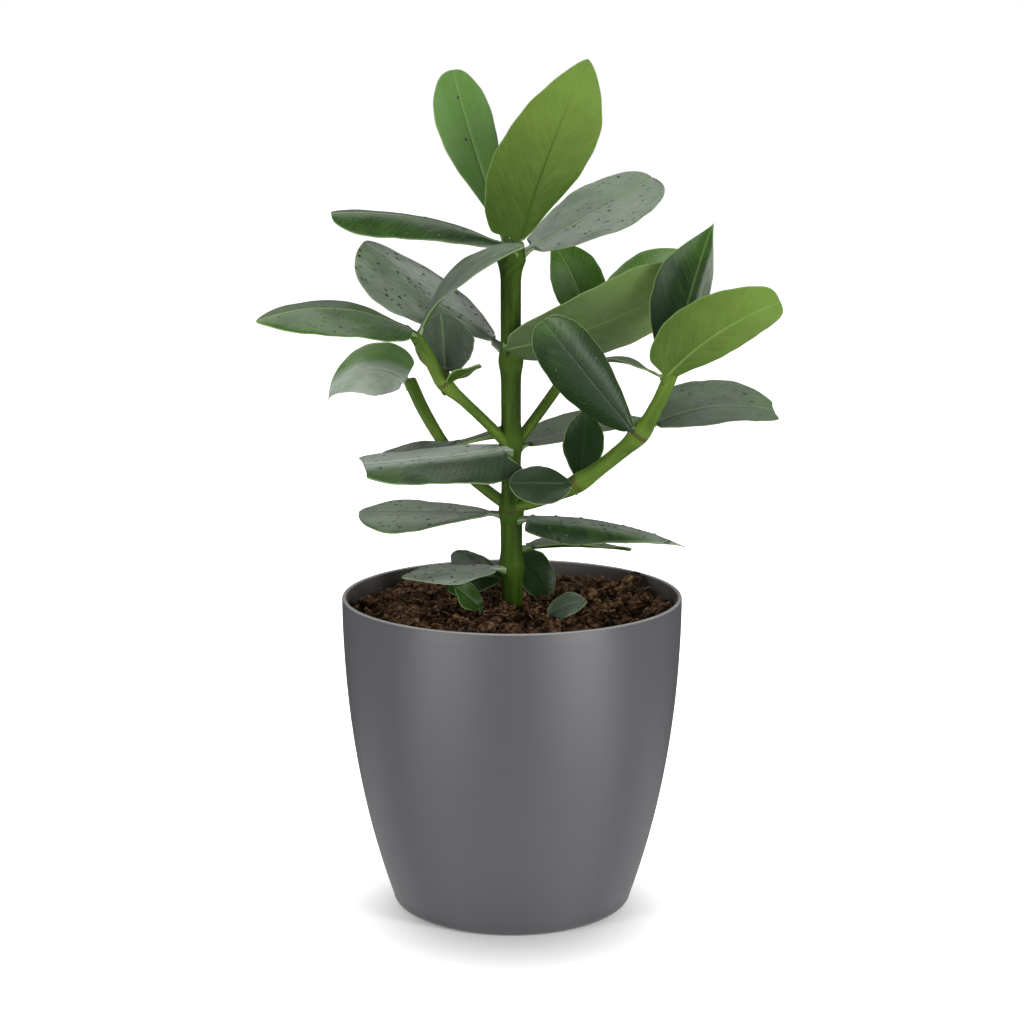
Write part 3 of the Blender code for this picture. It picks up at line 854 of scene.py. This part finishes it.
STEMS = (
    StemForm("main_stem", (
        (0.2, 0, 112, 4.5), (0.2, 0, 135, 5.4), (0, 0, 162, 5.6), (-0.3, 0, 200, 5.7), (-0.4, 0, 235, 5.1),
        (-0.6, 0, 300, 5.3), (-0.6, 0, 333, 5.3), (-0.4, 0, 343, 7.6), (-0.2, 0, 351, 6.6),
    ), (182, 212, 249, 291)),
    StemForm("branch_front_left", (
        (-2, -3, 247, 3.0), (-13, -5, 259, 2.7), (-24, -8, 270, 2.7), (-35, -12, 281, 3.0),
        (-43, -16, 295, 3.5), (-49, -20, 306, 3.2),
    ), (281,)),
    StemForm("branch_back_left", (
        (-2, 2, 214, 3.2), (-14, 7, 222, 3.0), (-27, 11, 233, 3.0), (-38, 14, 248, 3.1), (-47, 17, 263, 3.3),
        (-54, 19, 278, 3.4),
    )),
    StemForm("branch_front_right", (
        (2, -3, 214, 2.8), (16, -8, 219, 3.0), (34, -15, 229, 3.8), (50, -22, 242, 4.0), (65, -29, 257, 4.0),
        (74, -33, 273, 3.7), (80, -36, 288, 3.6),
    ), (229, 257)),
    StemForm("branch_back_right", (
        (2, 3, 247, 3.0), (11, 8, 258, 2.8), (24, 16, 275, 2.8), (35, 22, 290, 2.9), (43, 27, 303, 3.0),
    )),
)


@dataclass
class Stem:
    """A smooth round stem that swells where leaves join it.

    Each of the grains is a height in millimetres and how fine it is along and around the stem.
    """

    form: StemForm
    sides: int = 32
    spacing: float = 1.8
    swelling: float = 1.3
    swelling_reach: float = 5.5
    grains: tuple[Point, ...] = ((0.05, 0.03, 2.2), (0.10, 0.70, 2.0))
    start_bulge: float = 0.3
    end_bulge: float = 0.5
    end_rings: int = 4

    def along(self) -> list[tuple[Vector, float]]:
        """Returns points on the smooth curve through the route, each with its radius."""
        knots = [Vector(knot[:3]) for knot in self.form.route]
        radii = [knot[3] for knot in self.form.route]
        knots = [2 * knots[0] - knots[1], *knots, 2 * knots[-1] - knots[-2]]
        found = []
        for index in range(1, len(knots) - 2):
            before, start, end, after = knots[index - 1 : index + 3]
            pieces = max(1, round((end - start).length / self.spacing))
            for piece in range(pieces):
                t = piece / pieces
                point = 0.5 * (
                    2 * start
                    + (end - before) * t
                    + (2 * before - 5 * start + 4 * end - after) * t**2
                    + (3 * start - before - 3 * end + after) * t**3
                )
                found.append((point, radii[index - 1] * (1 - t) + radii[index] * t))
        return [*found, (knots[-2], radii[-1])]

    def rings(self) -> list[tuple[Vector, float, float]]:
        """Returns (middle, radius, millimetres from the start) for each ring, the round ends included."""
        path = self.along()
        first = (path[0][0] - path[1][0]).normalized()
        last = (path[-1][0] - path[-2][0]).normalized()
        rings = [(path[0][0] + first * path[0][1] * self.start_bulge, 0.0, 0.0)]
        travelled = 0.0
        for index, (middle, radius) in enumerate(path):
            travelled += (middle - path[max(index - 1, 0)][0]).length
            rings.append((middle, radius, travelled))
        end_middle, end_radius = path[-1]
        for step in range(1, self.end_rings + 1):
            turn = math.pi / 2 * step / self.end_rings
            middle = end_middle + last * (end_radius * self.end_bulge * math.sin(turn))
            rings.append((middle, end_radius * math.cos(turn), travelled + step))
        return rings

    def nearness(self, height: float) -> float:
        """Returns how near the closest joint is, from 0 to 1."""
        near = (math.exp(-(((height - joint) / self.swelling_reach) ** 2)) for joint in self.form.joints)
        return max(near, default=0.0)

    def grain(self, turn: float, travelled: float) -> float:
        """Returns how far ridges and small bumps raise the skin at a place, in millimetres."""
        x, y = math.cos(turn), math.sin(turn)
        return sum(
            high * noise.noise(Vector((x * around, y * around, travelled * along)))
            for high, along, around in self.grains
        )

    def build(self, skin: Material) -> None:
        """Rolls a grid into the stem's tube, which replaces its solid.

        Args:
            skin: The stem's material.
        """
        rings = self.rings()
        piece = Bench.grid(f"{self.form.name}_skin", self.sides, len(rings) - 1)
        points, places = [], []
        for index, (middle, radius, travelled) in enumerate(rings):
            ahead = rings[min(index + 1, len(rings) - 1)][0] - rings[max(index - 1, 0)][0]
            right = ahead.cross(Vector((0, 1, 0))).normalized()
            front = right.cross(ahead).normalized()
            near = self.nearness(middle.z)
            for side, turn in enumerate(ring_turns(self.sides)):
                direction = right * math.cos(turn) + front * math.sin(turn)
                swollen = radius + self.swelling * near + self.grain(turn, travelled)
                size = swollen if radius > 0.01 else 0.0
                points.append(middle + direction * size)
                places.append((travelled, radius * 2 * math.pi * side / self.sides, near))
        Bench.shape(piece, points)
        Bench.label(piece, "place", places)
        Bench.weld(piece)
        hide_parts(self.form.name)
        Bench.finish(piece, Slot.STEM, [skin])


@dataclass(frozen=True)
class LeafForm:
    """Shape, place and look of one leaf.

    It leaves its stem at base. heading is the direction there: 0 right, 90 back, 180 left, 270 front.
    rise is the slope there, bend how far the slope falls by the tip, and sweep how far the heading turns.
    roll leans the blade to its right and twist adds to that by the tip. fold raises each half at the midrib,
    and cup turns it further up towards the margin. widest is where along the blade it is widest, from 0 to 1.
    lobe is how far the blade reaches back beside the stalk, and notch how far the margin runs past the midrib
    at the tip. A low base_round or tip_round makes that end blunt. skew is how much wider the left half is
    near the stalk, and uneven all along.

    tone goes from old dark green at 0 to fresh green at 1, wet from dry at 0 to spotted with water at 1, and
    vein from a dark midrib at -1 to a light one at 1. painted_sheen is how thickly a painted grey sheen lies
    on the upper side, and above 1 it hides the green. painted_sheen_lean is how much less of it the left half
    has, or the right half if it is below 0; past 1 the part without it reaches beyond the midrib. dull goes
    from glossy at 0 to matte at 1.
    """

    name: str
    base: Point
    heading: float
    rise: float
    bend: float
    sweep: float
    length: float
    width: float
    roll: float
    twist: float = 0.0
    fold: float = 0.0
    cup: float = 8.0
    widest: float = 0.48
    stalk: float = 9.0
    lobe: float = 3.0
    notch: float = 0.0
    base_round: float = 0.5
    tip_round: float = 0.62
    skew: float = 0.0
    uneven: float = 0.0
    tone: float = 0.3
    wet: float = 0.0
    vein: float = 0.5
    painted_sheen: float = 0.0
    painted_sheen_lean: float = 0.0
    dull: float = 0.0


LEAVES = (
    LeafForm("leaf_crown_front", (2, -4, 348), 334, 72, 10, -4, 104, 46, -50, stalk=5.5, lobe=5,
             tip_round=0.72, skew=-0.85, uneven=0.18, tone=0.6, vein=-0.9),
    LeafForm("leaf_crown_back", (-1.3, 3, 348), 150, 66, -2, -20, 99.5, 30.5, -34, widest=0.66,
             base_round=1.3, tip_round=0.4, uneven=0.08, tone=1.15, wet=0.12, painted_sheen=0.3),
    LeafForm("leaf_crown_left", (3, -4, 347.5), 193, 27, 31, -4, 99, 27, -30, fold=-17, cup=-12,
             widest=0.66, base_round=0.75, tip_round=0.32, tone=0.12, wet=0.15, painted_sheen=0.03, painted_sheen_lean=0.4),
    LeafForm("leaf_crown_right", (3, 1, 345.5), 23, 26, 1, 8, 89, 43, 28, widest=0.58, tip_round=0.32,
             uneven=-0.16, wet=0.5, vein=0.8, painted_sheen=0.58),
    LeafForm("leaf_upper_left", (-3, 4, 296), 172, 32.5, -8, 2, 93.5, 38.5, -60, twist=16, fold=-14,
             cup=-10, widest=0.68, base_round=0.7, tip_round=0.45, skew=-0.8, uneven=0.12, tone=0.12,
             wet=1.0, vein=0.2, painted_sheen=0.85, painted_sheen_lean=0.3),
    LeafForm("leaf_upper_right", (-4, -7, 298.5), 352, 9, -26, 24, 112, 43, -62, widest=0.62, stalk=1.5,
             skew=0.05, tone=0.44, vein=0.6, painted_sheen=0.7),
    LeafForm("leaf_middle_left", (-1, -4, 246), 218, -2.5, -2, -17, 85, 31, -29, widest=0.3, fold=-6,
             cup=-10, stalk=6, lobe=14, notch=3, base_round=0.35, tip_round=0.22, skew=0.5, tone=0.1,
             wet=0.4, vein=-0.2, painted_sheen=2.4, painted_sheen_lean=0.95),
    LeafForm("leaf_middle_right", (2, 3, 245), 34, 12, 12, -3, 84, 41, 7, stalk=7, lobe=5, wet=0.2),
    LeafForm("leaf_middle_back", (-1, 2, 257), 178, -24, -23, 4, 70, 15, -20, stalk=28, widest=0.6,
             tone=0.12, vein=0.1),
    LeafForm("leaf_lower_left", (-2, 0, 210), 163, 0, 5, -2, 84, 37, -18, widest=0.66, base_round=1.0,
             tip_round=0.42, cup=-10, tone=0.25, wet=0.7, vein=0.1, painted_sheen=0.7, painted_sheen_lean=0.6),
    LeafForm("leaf_lower_right", (2, -2, 208), 328, 6, 16, -6, 103, 28, 24, widest=0.30, fold=-12, cup=-22,
             stalk=8, lobe=6, base_round=0.42, tip_round=1.5, uneven=0.1, tone=0.15, wet=0.7, vein=0.1,
             painted_sheen=1.3, painted_sheen_lean=-0.98),
    LeafForm("leaf_base_left", (-2, -3, 182), 202, 1, 4, -3, 59, 26, -10, cup=-5, tone=0.25, wet=0.8,
             vein=0.1, painted_sheen=1.2, painted_sheen_lean=0.3),
    LeafForm("leaf_base_right", (2, 3, 191), 30, 0, 14, -1, 73, 34, -2, tone=0.35, wet=0.2),
    LeafForm("leaf_base_back_left", (-2, 3, 174.5), 152, 4, 8, 5, 34, 25, -72, stalk=6, widest=0.85,
             tip_round=0.25, notch=2, tone=0.15),
    LeafForm("leaf_base_back_right", (-0.5, 4, 185), 50, -14, 62, -20, 37, 23, 84, stalk=6, tip_round=0.4,
             tone=0.1, vein=-0.1),
    LeafForm("leaf_front_left_tip_left", (-49, -20, 307), 205, 31, 51, -4, 87, 41, -23, fold=-9, cup=-5,
             stalk=3, base_round=0.42, tip_round=0.75, skew=-0.15, uneven=0.10, tone=0.35, wet=0.45,
             vein=0.9, painted_sheen=0.05, painted_sheen_lean=0.5),
    LeafForm("leaf_front_left_tip_right", (-48, -19, 305), 338, 66, 54, 12, 76, 30, 24, stalk=6, tone=0.2,
             vein=-0.4, painted_sheen=0.8, dull=0.5),
    LeafForm("leaf_front_left_side", (-34, -11.5, 281), 98, 68, 0, 9, 37, 32, -3, stalk=6, tone=0.1,
             painted_sheen=0.4, dull=0.5),
    LeafForm("leaf_front_left_small", (-35, -12, 281), 317, 22, -4, 8, 27, 13, -10, stalk=5),
    LeafForm("leaf_back_left_tip", (-54, 19, 276), 194, 48, 117, -6, 53, 31, -78, twist=40, widest=0.32,
             stalk=4, base_round=0.38, fold=-16, tip_round=1.2, skew=-0.4, uneven=0.13, tone=0.8, vein=1.0,
             painted_sheen=2.2, painted_sheen_lean=-0.85),
    LeafForm("leaf_front_right_low_left", (34, -16, 228), 205, 7, 5, -8, 38, 22, -60, fold=-2, cup=-8,
             stalk=5, base_round=0.6, tip_round=0.5, tone=0.0, vein=-0.3, dull=0.4),
    LeafForm("leaf_front_right_low_back", (34, -14, 228), 70, 58, -12, 10, 41, 22, 14, stalk=5,
             base_round=0.75, tone=0.1, vein=0.15),
    LeafForm("leaf_front_right_mid_left", (63, -31, 257), 212, 47, 0, 1, 83, 33, -118, widest=0.62, cup=-24,
             stalk=4, base_round=0.6, tip_round=0.4, skew=0.35, uneven=0.08, tone=0.05, wet=0.35, vein=-0.1,
             painted_sheen=0.04, painted_sheen_lean=0.98),
    LeafForm("leaf_front_right_mid_right", (66, -27, 258.5), 14, 27, 44, 4, 75, 40, 27, stalk=8, notch=3,
             tip_round=0.38, skew=0.15, tone=0.2, wet=0.6, painted_sheen=0.35, dull=0.7),
    LeafForm("leaf_front_right_tip_right", (76.5, -37, 286.5), 335, 47.5, 27, 10, 71.5, 35, -58, stalk=1.5,
             base_round=0.40, tip_round=0.30, skew=-0.45, uneven=-0.05, tone=0.8, vein=0.6),
    LeafForm("leaf_front_right_tip_back", (79, -34, 286), 52, 68, 3, -15, 84, 31, 33, cup=20,
             tip_round=1.25, uneven=0.3, tone=0.15, vein=0.4, painted_sheen=1.3, painted_sheen_lean=2.2, dull=0.3),
    LeafForm("leaf_back_right_tip_left", (41, 27, 302), 158, 80, 25, 17, 52, 29, -62, stalk=6, uneven=-0.1,
             tone=0.85, vein=1.0),
    LeafForm("leaf_back_right_tip_right", (45, 27, 303), 34, 57, 48, -19, 74, 29, 34, tone=0.8),
    LeafForm("leaf_back_right_side", (34, 21, 287), 350, 18, 54, 4, 47, 15, 0, tip_round=0.9, tone=0.4),
    LeafForm("leaf_soil_left", (-16, -14, 161), 195, 50, 15, 0, 20, 16, -50, stalk=2, lobe=0, tone=0.4,
             vein=0.0),
    LeafForm("leaf_soil_right", (17.5, -31, 159.5), 335, 50, 45, 10, 26, 15, 52, stalk=2, lobe=0, tone=0.15,
             vein=0.1, painted_sheen=0.4, tip_round=0.8),
)


@dataclass
class Leaf:
    """One leaf: a round stalk that flattens into a thin blade with a raised midrib and a rounded margin.

    Names that end in _run are shares of the blade's length, and the other lengths are in millimetres.
    """

    form: LeafForm
    stalk_rows: int = 9
    blade_rows: int = 58
    columns: int = 24
    centre_steps: int = 40
    stalk_half_width: float = 2.1
    stalk_half_depth: float = 1.5
    stalk_flare: float = 1.2
    stalk_root: float = 5.5
    stalk_top_share: float = 0.7
    blade_top_share: float = 0.8
    blade: float = 0.85
    least_half: float = 0.12
    rim_half: float = 0.05
    groove: float = 0.40
    rib: float = 1.15
    rib_half_width: float = 1.15
    unevenness: tuple[Pair, Pair] = ((0.012, 19.0), (0.008, 43.0))
    stalk_end_run: float = 0.09
    blade_full_run: float = 0.10
    fold_full_run: float = 0.04
    lobe_full_run: float = 0.05
    notch_full_run: float = 0.03
    margin_wave: float = 0.7
    margin_waves: float = 1.5
    ripple: float = 0.55
    ripple_length: float = 13.0
    ripple_width: float = 9.0
    line: list[Frame] = field(default_factory=list)

    def __post_init__(self) -> None:
        """Works out the middle line, with its direction, right side and upper side at each step."""
        form = self.form
        point = Vector(form.base)
        for step in range(self.centre_steps + 1):
            share = step / self.centre_steps
            heading = math.radians(form.heading + form.sweep * share)
            rise = math.radians(form.rise - form.bend * share)
            lean = math.radians(form.roll + form.twist * share)
            level = Vector((math.cos(heading), math.sin(heading), 0))
            ahead = level * math.cos(rise) + Vector((0, 0, math.sin(rise)))
            upper = Vector((0, 0, math.cos(rise))) - level * math.sin(rise)
            right = ahead.cross(upper)
            leaned_upper = upper * math.cos(lean) + right * math.sin(lean)
            leaned_right = right * math.cos(lean) - upper * math.sin(lean)
            self.line.append((point.copy(), ahead, leaned_right, leaned_upper))
            point += ahead * (form.length / self.centre_steps)

    def on_line(self, share: float) -> Frame:
        """Returns the middle line's point and directions at a share of its length."""
        place = min(max(share, 0.0), 1.0) * self.centre_steps
        index = min(int(place), self.centre_steps - 1)
        part = place - index
        return tuple(a.lerp(b, part) for a, b in zip(self.line[index], self.line[index + 1]))

    def half_width(self, run: float) -> float:
        """Returns half the blade's width at a share of its run."""
        form = self.form
        if run < form.widest:
            share = math.sin(math.pi / 2 * run / form.widest) ** form.base_round
        else:
            share = max(0.0, math.sin(math.pi / 2 * (1 - run) / (1 - form.widest))) ** form.tip_round
        (broad, broad_waves), (small, small_waves) = self.unevenness
        uneven = 1 + broad * math.sin(broad_waves * run + form.heading)
        uneven += small * math.sin(small_waves * run + form.rise)
        stalk = self.stalk_half_width * (1 - smooth(run / self.stalk_end_run))
        return max(self.least_half, stalk, form.width / 2 * share * uneven)

    def section(self, run: float, across: float) -> tuple[Vector, Vector, Point]:
        """Works out one point of the upper side and the one below it.

        Args:
            run: Share of the blade from its base to its tip; on the stalk, from -1 at the stem to 0.
            across: From -1 at the left margin to 1 at the right one.

        Returns:
            The upper point, the lower point and the "place" numbers, all in millimetres.
        """
        stalk_share = self.form.stalk / self.form.length
        if run < 0:
            return self.stalk_section(run, across, self.on_line(stalk_share * (1 + run)))
        return self.blade_section(run, across, self.on_line(stalk_share + (1 - stalk_share) * run))

    def stalk_section(self, run: float, across: float, frame: Frame) -> tuple[Vector, Vector, Point]:
        """Works out a section of the stalk, which widens and reaches down where it meets the stem."""
        centre, _, right, upper = frame
        out = abs(across)
        round_off = math.sqrt(max(0.0, 1 - out**2))
        flare = run**2
        half = self.stalk_half_width + self.stalk_flare * flare
        point = centre + right * (half * across)
        above = self.stalk_half_depth * round_off * self.stalk_top_share + self.rim_half
        below = self.stalk_half_depth * round_off + self.rim_half
        root = Vector((0, 0, self.stalk_root * flare * round_off * max(0.0, upper.z) ** 0.5))
        place = (self.form.stalk * run, half * across, half * (1 - out))
        return point + upper * above, point - upper * below - root, place

    def blade_section(self, run: float, across: float, frame: Frame) -> tuple[Vector, Vector, Point]:
        """Works out a section of the blade: where its sheet lies, then how thick it is there."""
        form = self.form
        centre, ahead, right, upper = frame
        out, hand = abs(across), math.copysign(1.0, across)
        full = smooth(run / self.blade_full_run)
        wider = form.uneven * full + form.skew * (1 - run) ** 2
        half = self.half_width(run) * (1 - wider * hand)
        flat = half * out
        turn = math.radians(form.fold + form.cup * out) * smooth(run / self.fold_full_run)
        wave = math.sin(2 * math.pi * self.margin_waves * run + form.heading + across)
        ripple_place = (run * form.length / self.ripple_length, flat * hand / self.ripple_width, form.heading)
        ripple = self.ripple * noise.noise(Vector(ripple_place))
        lift = (self.margin_wave * out**2 * wave + ripple * out) * full
        back = form.lobe * out**2 * (1 - run) ** 6 * smooth(run / self.lobe_full_run)
        past_tip = form.notch * out * run**8 * smooth((1 - run) / self.notch_full_run)
        side = right * hand
        point = centre + side * (flat * math.cos(turn)) + upper * (flat * math.sin(turn) + lift)
        point += ahead * (past_tip - back)
        normal = upper * math.cos(turn) - side * math.sin(turn)

        sheet = self.blade / 2 * math.sqrt(max(0.0, 1 - out**10)) * min(1.0, half / 2)
        crease = math.exp(-((flat / self.rib_half_width) ** 2)) * min(1.0, half / 3)
        above = sheet - self.groove * crease * (1 - run) ** 0.3
        below = sheet + self.rib * crease * (1 - run) ** 1.1
        round_off = math.sqrt(max(0.0, 1 - out**2))
        above += (self.stalk_half_depth * round_off * self.blade_top_share - above) * (1 - full)
        below += (self.stalk_half_depth * round_off - below) * (1 - full)
        place = ((form.length - form.stalk) * run, flat * hand, half - flat)
        return point + normal * (above + self.rim_half), point - normal * (below + self.rim_half), place

    def grid_run(self, row: int) -> float:
        """Returns the run of a row, with rows close together near the blade's ends."""
        if row < self.stalk_rows:
            return row / self.stalk_rows - 1
        return (1 - math.cos(math.pi * (row - self.stalk_rows) / self.blade_rows)) / 2

    def grid_across(self, column: int) -> float:
        """Returns how far across a column lies, with columns close together near the midrib and margins."""
        even = 2 * column / self.columns - 1
        return math.copysign(1 - (1 - abs(even) ** 1.35) ** 1.45, even)

    def build(self, skins: dict[Side, Material]) -> None:
        """Gives a grid a second side and shapes both into the leaf, which replaces its solid.

        Args:
            skins: The material of each part of a leaf.
        """
        form = self.form
        rows = self.stalk_rows + self.blade_rows
        piece = Bench.grid(form.name.replace("leaf_", "blade_"), self.columns, rows)
        Bench.dress(piece, [skins[side] for side in Side])
        shell = {"thickness": MM, "offset": -1, "material_offset": 1, "material_offset_rim": 2}
        Bench.apply(piece, "SOLIDIFY", shell)
        upper, lower, places = [], [], []
        for row in range(rows + 1):
            run = self.grid_run(row)
            for column in range(self.columns + 1):
                above, below, place = self.section(run, self.grid_across(column))
                upper.append(above)
                lower.append(below)
                places.append(place)
        Bench.shape(piece, [*upper, *lower])
        Bench.label(piece, "place", [*places, *places])
        Bench.label(piece, "look", [(form.tone, form.wet, form.vein)] * (2 * len(places)))
        Bench.label(piece, "wax", [(form.painted_sheen, form.painted_sheen_lean, form.dull)] * (2 * len(places)))
        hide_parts(form.name)
        Bench.finish(piece, Slot.LEAF)


@dataclass
class Drops:
    """Beads of water that lie on the wet leaves, more of them on the wetter ones."""

    leaves: list[Leaf]
    most_on_a_leaf: int = 26
    runs: Pair = (0.12, 0.92)
    farthest_across: float = 0.85
    sizes: Pair = (0.35, 0.95)
    stretch: Point = (1.25, 0.8, 0.55)

    def build(self, water: Material) -> None:
        """Lays the beads on the upper sides, as one piece.

        Args:
            water: The beads' material.
        """
        bead = Bench.add(bpy.ops.mesh.primitive_ico_sphere_add, "bead", subdivisions=2, radius=MM)
        long, wide, high = self.stretch
        places = []
        for leaf in self.leaves:
            draw = random.Random(leaf.form.name)
            for _ in range(round(self.most_on_a_leaf * leaf.form.wet)):
                run = draw.uniform(*self.runs)
                across = draw.uniform(-self.farthest_across, self.farthest_across)
                spot, below, _ = leaf.section(run, across)
                ahead = (leaf.section(run + 0.01, across)[0] - spot).normalized()
                normal = (spot - below).normalized()
                turned = Matrix((ahead, normal.cross(ahead), normal)).transposed().to_4x4()
                size = draw.uniform(*self.sizes)
                squash = Matrix.Diagonal((size * long, size * wide, size * high, 1))
                places.append((0, Matrix.Translation(spot * MM) @ turned @ squash))
        piece = Bench.scatter("water_beads", [bead], places)
        Bench.finish(piece, Slot.LEAF, [water])


@dataclass(frozen=True)
class SoftBox:
    """A square or oblong studio light that points at the plant."""

    name: str
    azimuth: float
    elevation: float
    distance: float
    width: float
    height: float
    power: float
    mirrored: bool
    aim: Point = (0.0, 0.0, 0.2)

    def build(self) -> None:
        """Hangs the light. Azimuth 0 is on the camera's side of the plant and 90 on the right."""
        turn, lift = math.radians(self.azimuth), math.radians(self.elevation)
        away = Vector((math.sin(turn) * math.cos(lift), -math.cos(turn) * math.cos(lift), math.sin(lift)))
        light = bpy.data.lights.new(self.name, "AREA")
        light.shape = "RECTANGLE"
        light.size, light.size_y = self.width, self.height
        light.energy = self.power
        lamp = bpy.data.objects.new(self.name, light)
        lamp.visible_glossy = self.mirrored
        lamp.location = Vector(self.aim) + away * self.distance
        lamp.rotation_euler = (-away).to_track_quat("-Z", "Y").to_euler()
        bpy.context.scene.collection.objects.link(lamp)


@dataclass
class Studio:
    """White floor, white surround, soft boxes and the camera.

    Lengths are in metres. The floor glows from glow_reach outwards, so that only a soft shadow stays beside
    the pot, and glow_shift moves the middle of the dark part towards the camera.
    """

    camera_distance: float = 1.070
    camera_height: float = 0.4105
    camera_pitch: float = 10.56
    lens: float = 72.6
    sensor_width: float = 36.0
    floor_size: float = 30.0
    floor_white: float = 0.86
    floor_glow: Pair = (0.08, 1.0)
    glow_reach: Pair = (0.028, 0.150)
    glow_shift: Point = (0.0, 0.035, 0.0)
    front_light: float = 0.06
    back_light: float = 0.48
    panel_light: float = 2.20
    panel_lean: float = 0.50
    panel_foot: float = 0.14
    ground_light: float = 0.40
    base_light: float = 0.50
    boxes: tuple[SoftBox, ...] = (
        SoftBox("box_right", 51, 10, 1.5, 0.30, 1.3, 20.0, False),
        SoftBox("box_left", -51, 10, 1.5, 0.34, 1.3, 14.0, False),
        SoftBox("box_top", 180, 80, 1.6, 2.0, 1.5, 20.0, True),
    )

    def build(self) -> None:
        """Sets up everything round the plant."""
        self.add_floor()
        self.add_surround()
        self.add_camera()
        for box in self.boxes:
            box.build()
        view = bpy.context.scene.view_settings
        view.view_transform = "Standard"
        view.look = "None"

    def add_floor(self) -> None:
        """Adds a plain floor that photographs white."""
        grid = bpy.ops.mesh.primitive_grid_add
        floor = Bench.add(grid, "studio_floor", x_subdivisions=8, y_subdivisions=8, size=self.floor_size)
        recipe = Recipe("floor_white")
        inputs = {0: recipe.place(), 1: self.glow_shift}
        distance = recipe.length(recipe.node("ShaderNodeVectorMath", {"operation": "ADD"}, inputs))
        glow = recipe.mix(distance.step(*self.glow_reach), *((part,) * 3 for part in self.floor_glow))
        recipe.set(Base_Color=(self.floor_white,) * 3, Roughness=0.9, Specular_IOR_Level=0.0)
        recipe.set(Emission_Color=glow, Emission_Strength=1.0)
        Bench.dress(floor, [recipe.material])
        floor.visible_glossy = False

    def add_surround(self) -> None:
        """Makes the world a white backdrop that lights the plant more from behind than from the front."""
        world = bpy.data.worlds.new("surround")
        world.use_nodes = True
        nodes = Nodes(world.node_tree)
        rightward, backward, upward = nodes.split(nodes.node("ShaderNodeTexCoord", {}, {}, "Generated"))
        seen = nodes.node("ShaderNodeLightPath", {}, {}, "Is Camera Ray")
        behind = backward.step(-0.1, 0.8) * upward.step(0.02, 0.45)
        sideways = abs(rightward)
        panels = sideways.step(0.15, 0.70) * sideways.step(0.98, 0.80) * backward.step(0.1, -0.2)
        panels = panels * (self.panel_light + self.panel_lean * rightward) * upward.step(0.5, 0.1)
        panels = panels * (self.panel_foot + upward.step(-0.62, -0.15))
        ground = upward.step(-0.28, -0.45) * backward.step(0.0, 0.5) * self.ground_light
        ground = ground + upward.step(-0.50, -0.80) * self.base_light
        light = self.front_light + (self.back_light - self.front_light) * behind + panels + ground
        background = world.node_tree.nodes["Background"]
        nodes.feed(background.inputs["Color"], (1.0, 1.0, 1.0))
        nodes.feed(background.inputs["Strength"], light + seen * (1.0 - light))
        bpy.context.scene.world = world

    def add_camera(self) -> None:
        """Places the camera where the photograph was taken from."""
        data = bpy.data.cameras.new("camera")
        data.lens = self.lens
        data.sensor_width = self.sensor_width
        camera = bpy.data.objects.new("camera", data)
        camera.location = (0.0, -self.camera_distance, self.camera_height)
        camera.rotation_euler = (math.radians(90 - self.camera_pitch), 0.0, 0.0)
        bpy.context.scene.collection.objects.link(camera)
        bpy.context.scene.camera = camera


def leaf_skins() -> dict[Side, Material]:
    """Returns the material of each part of a leaf."""
    upper = LeafSkin(
        Side.UPPER, old=(0.008, 0.023, 0.005), fresh=(0.070, 0.175, 0.016), rib=(0.120, 0.220, 0.050),
        shaded_rib=(0.008, 0.018, 0.005), roughness=0.30, painted_sheen_share=0.8,
    )
    under = LeafSkin(
        Side.UNDER, old=(0.026, 0.056, 0.005), fresh=(0.088, 0.150, 0.022), rib=(0.120, 0.190, 0.045),
        shaded_rib=(0.024, 0.048, 0.004), roughness=0.50, gloss=0.15, tipward_lightening=0.9, painted_sheen_share=0.25,
    )
    margin = LeafSkin(
        Side.MARGIN, old=(0.110, 0.160, 0.050), fresh=(0.150, 0.230, 0.060), rib=(0.160, 0.230, 0.080),
        shaded_rib=(0.110, 0.160, 0.050), roughness=0.45,
    )
    return {skin.side: skin.material() for skin in (upper, under, margin)}


def main() -> None:
    """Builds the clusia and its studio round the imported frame."""
    logging.basicConfig(level=logging.INFO, format="%(message)s")
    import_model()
    Studio().build()
    pot = Pot()
    pot.build(PotPlastic().material())
    LOG.info("pot: %.0f mm across, %.0f mm high", 2 * pot.radius, pot.height)
    crumb = LooseBits("peat_crumb", (0.012, 0.006, 0.003), (0.205, 0.120, 0.064)).material()
    fibre = LooseBits("peat_fibre", (0.030, 0.015, 0.006), (0.380, 0.255, 0.145)).material()
    SoilBed(pot).build(Peat().material(), crumb, fibre)
    LOG.info("soil: filled to %.0f mm", SoilBed.edge_height)
    trunk_skin = StemSkin().material()
    # The branches' skin is lighter than the trunk's: partly the fresher green of young branches, partly
    # painted light where their slant faces the light from above.
    branch_skin = StemSkin(
        "branch_skin", deep=(0.024, 0.052, 0.004), fresh=(0.080, 0.138, 0.016), pale=(0.190, 0.260, 0.085)
    ).material()
    for form in STEMS:
        Stem(form).build(trunk_skin if form.name == "main_stem" else branch_skin)
        LOG.info("stem: %s", form.name)
    skins = leaf_skins()
    leaves = [Leaf(form) for form in LEAVES]
    for leaf in leaves:
        leaf.build(skins)
        LOG.info("leaf: %s", leaf.form.name)
    Drops(leaves).build(DropSkin().material())


if __name__ == "__main__":
    main()
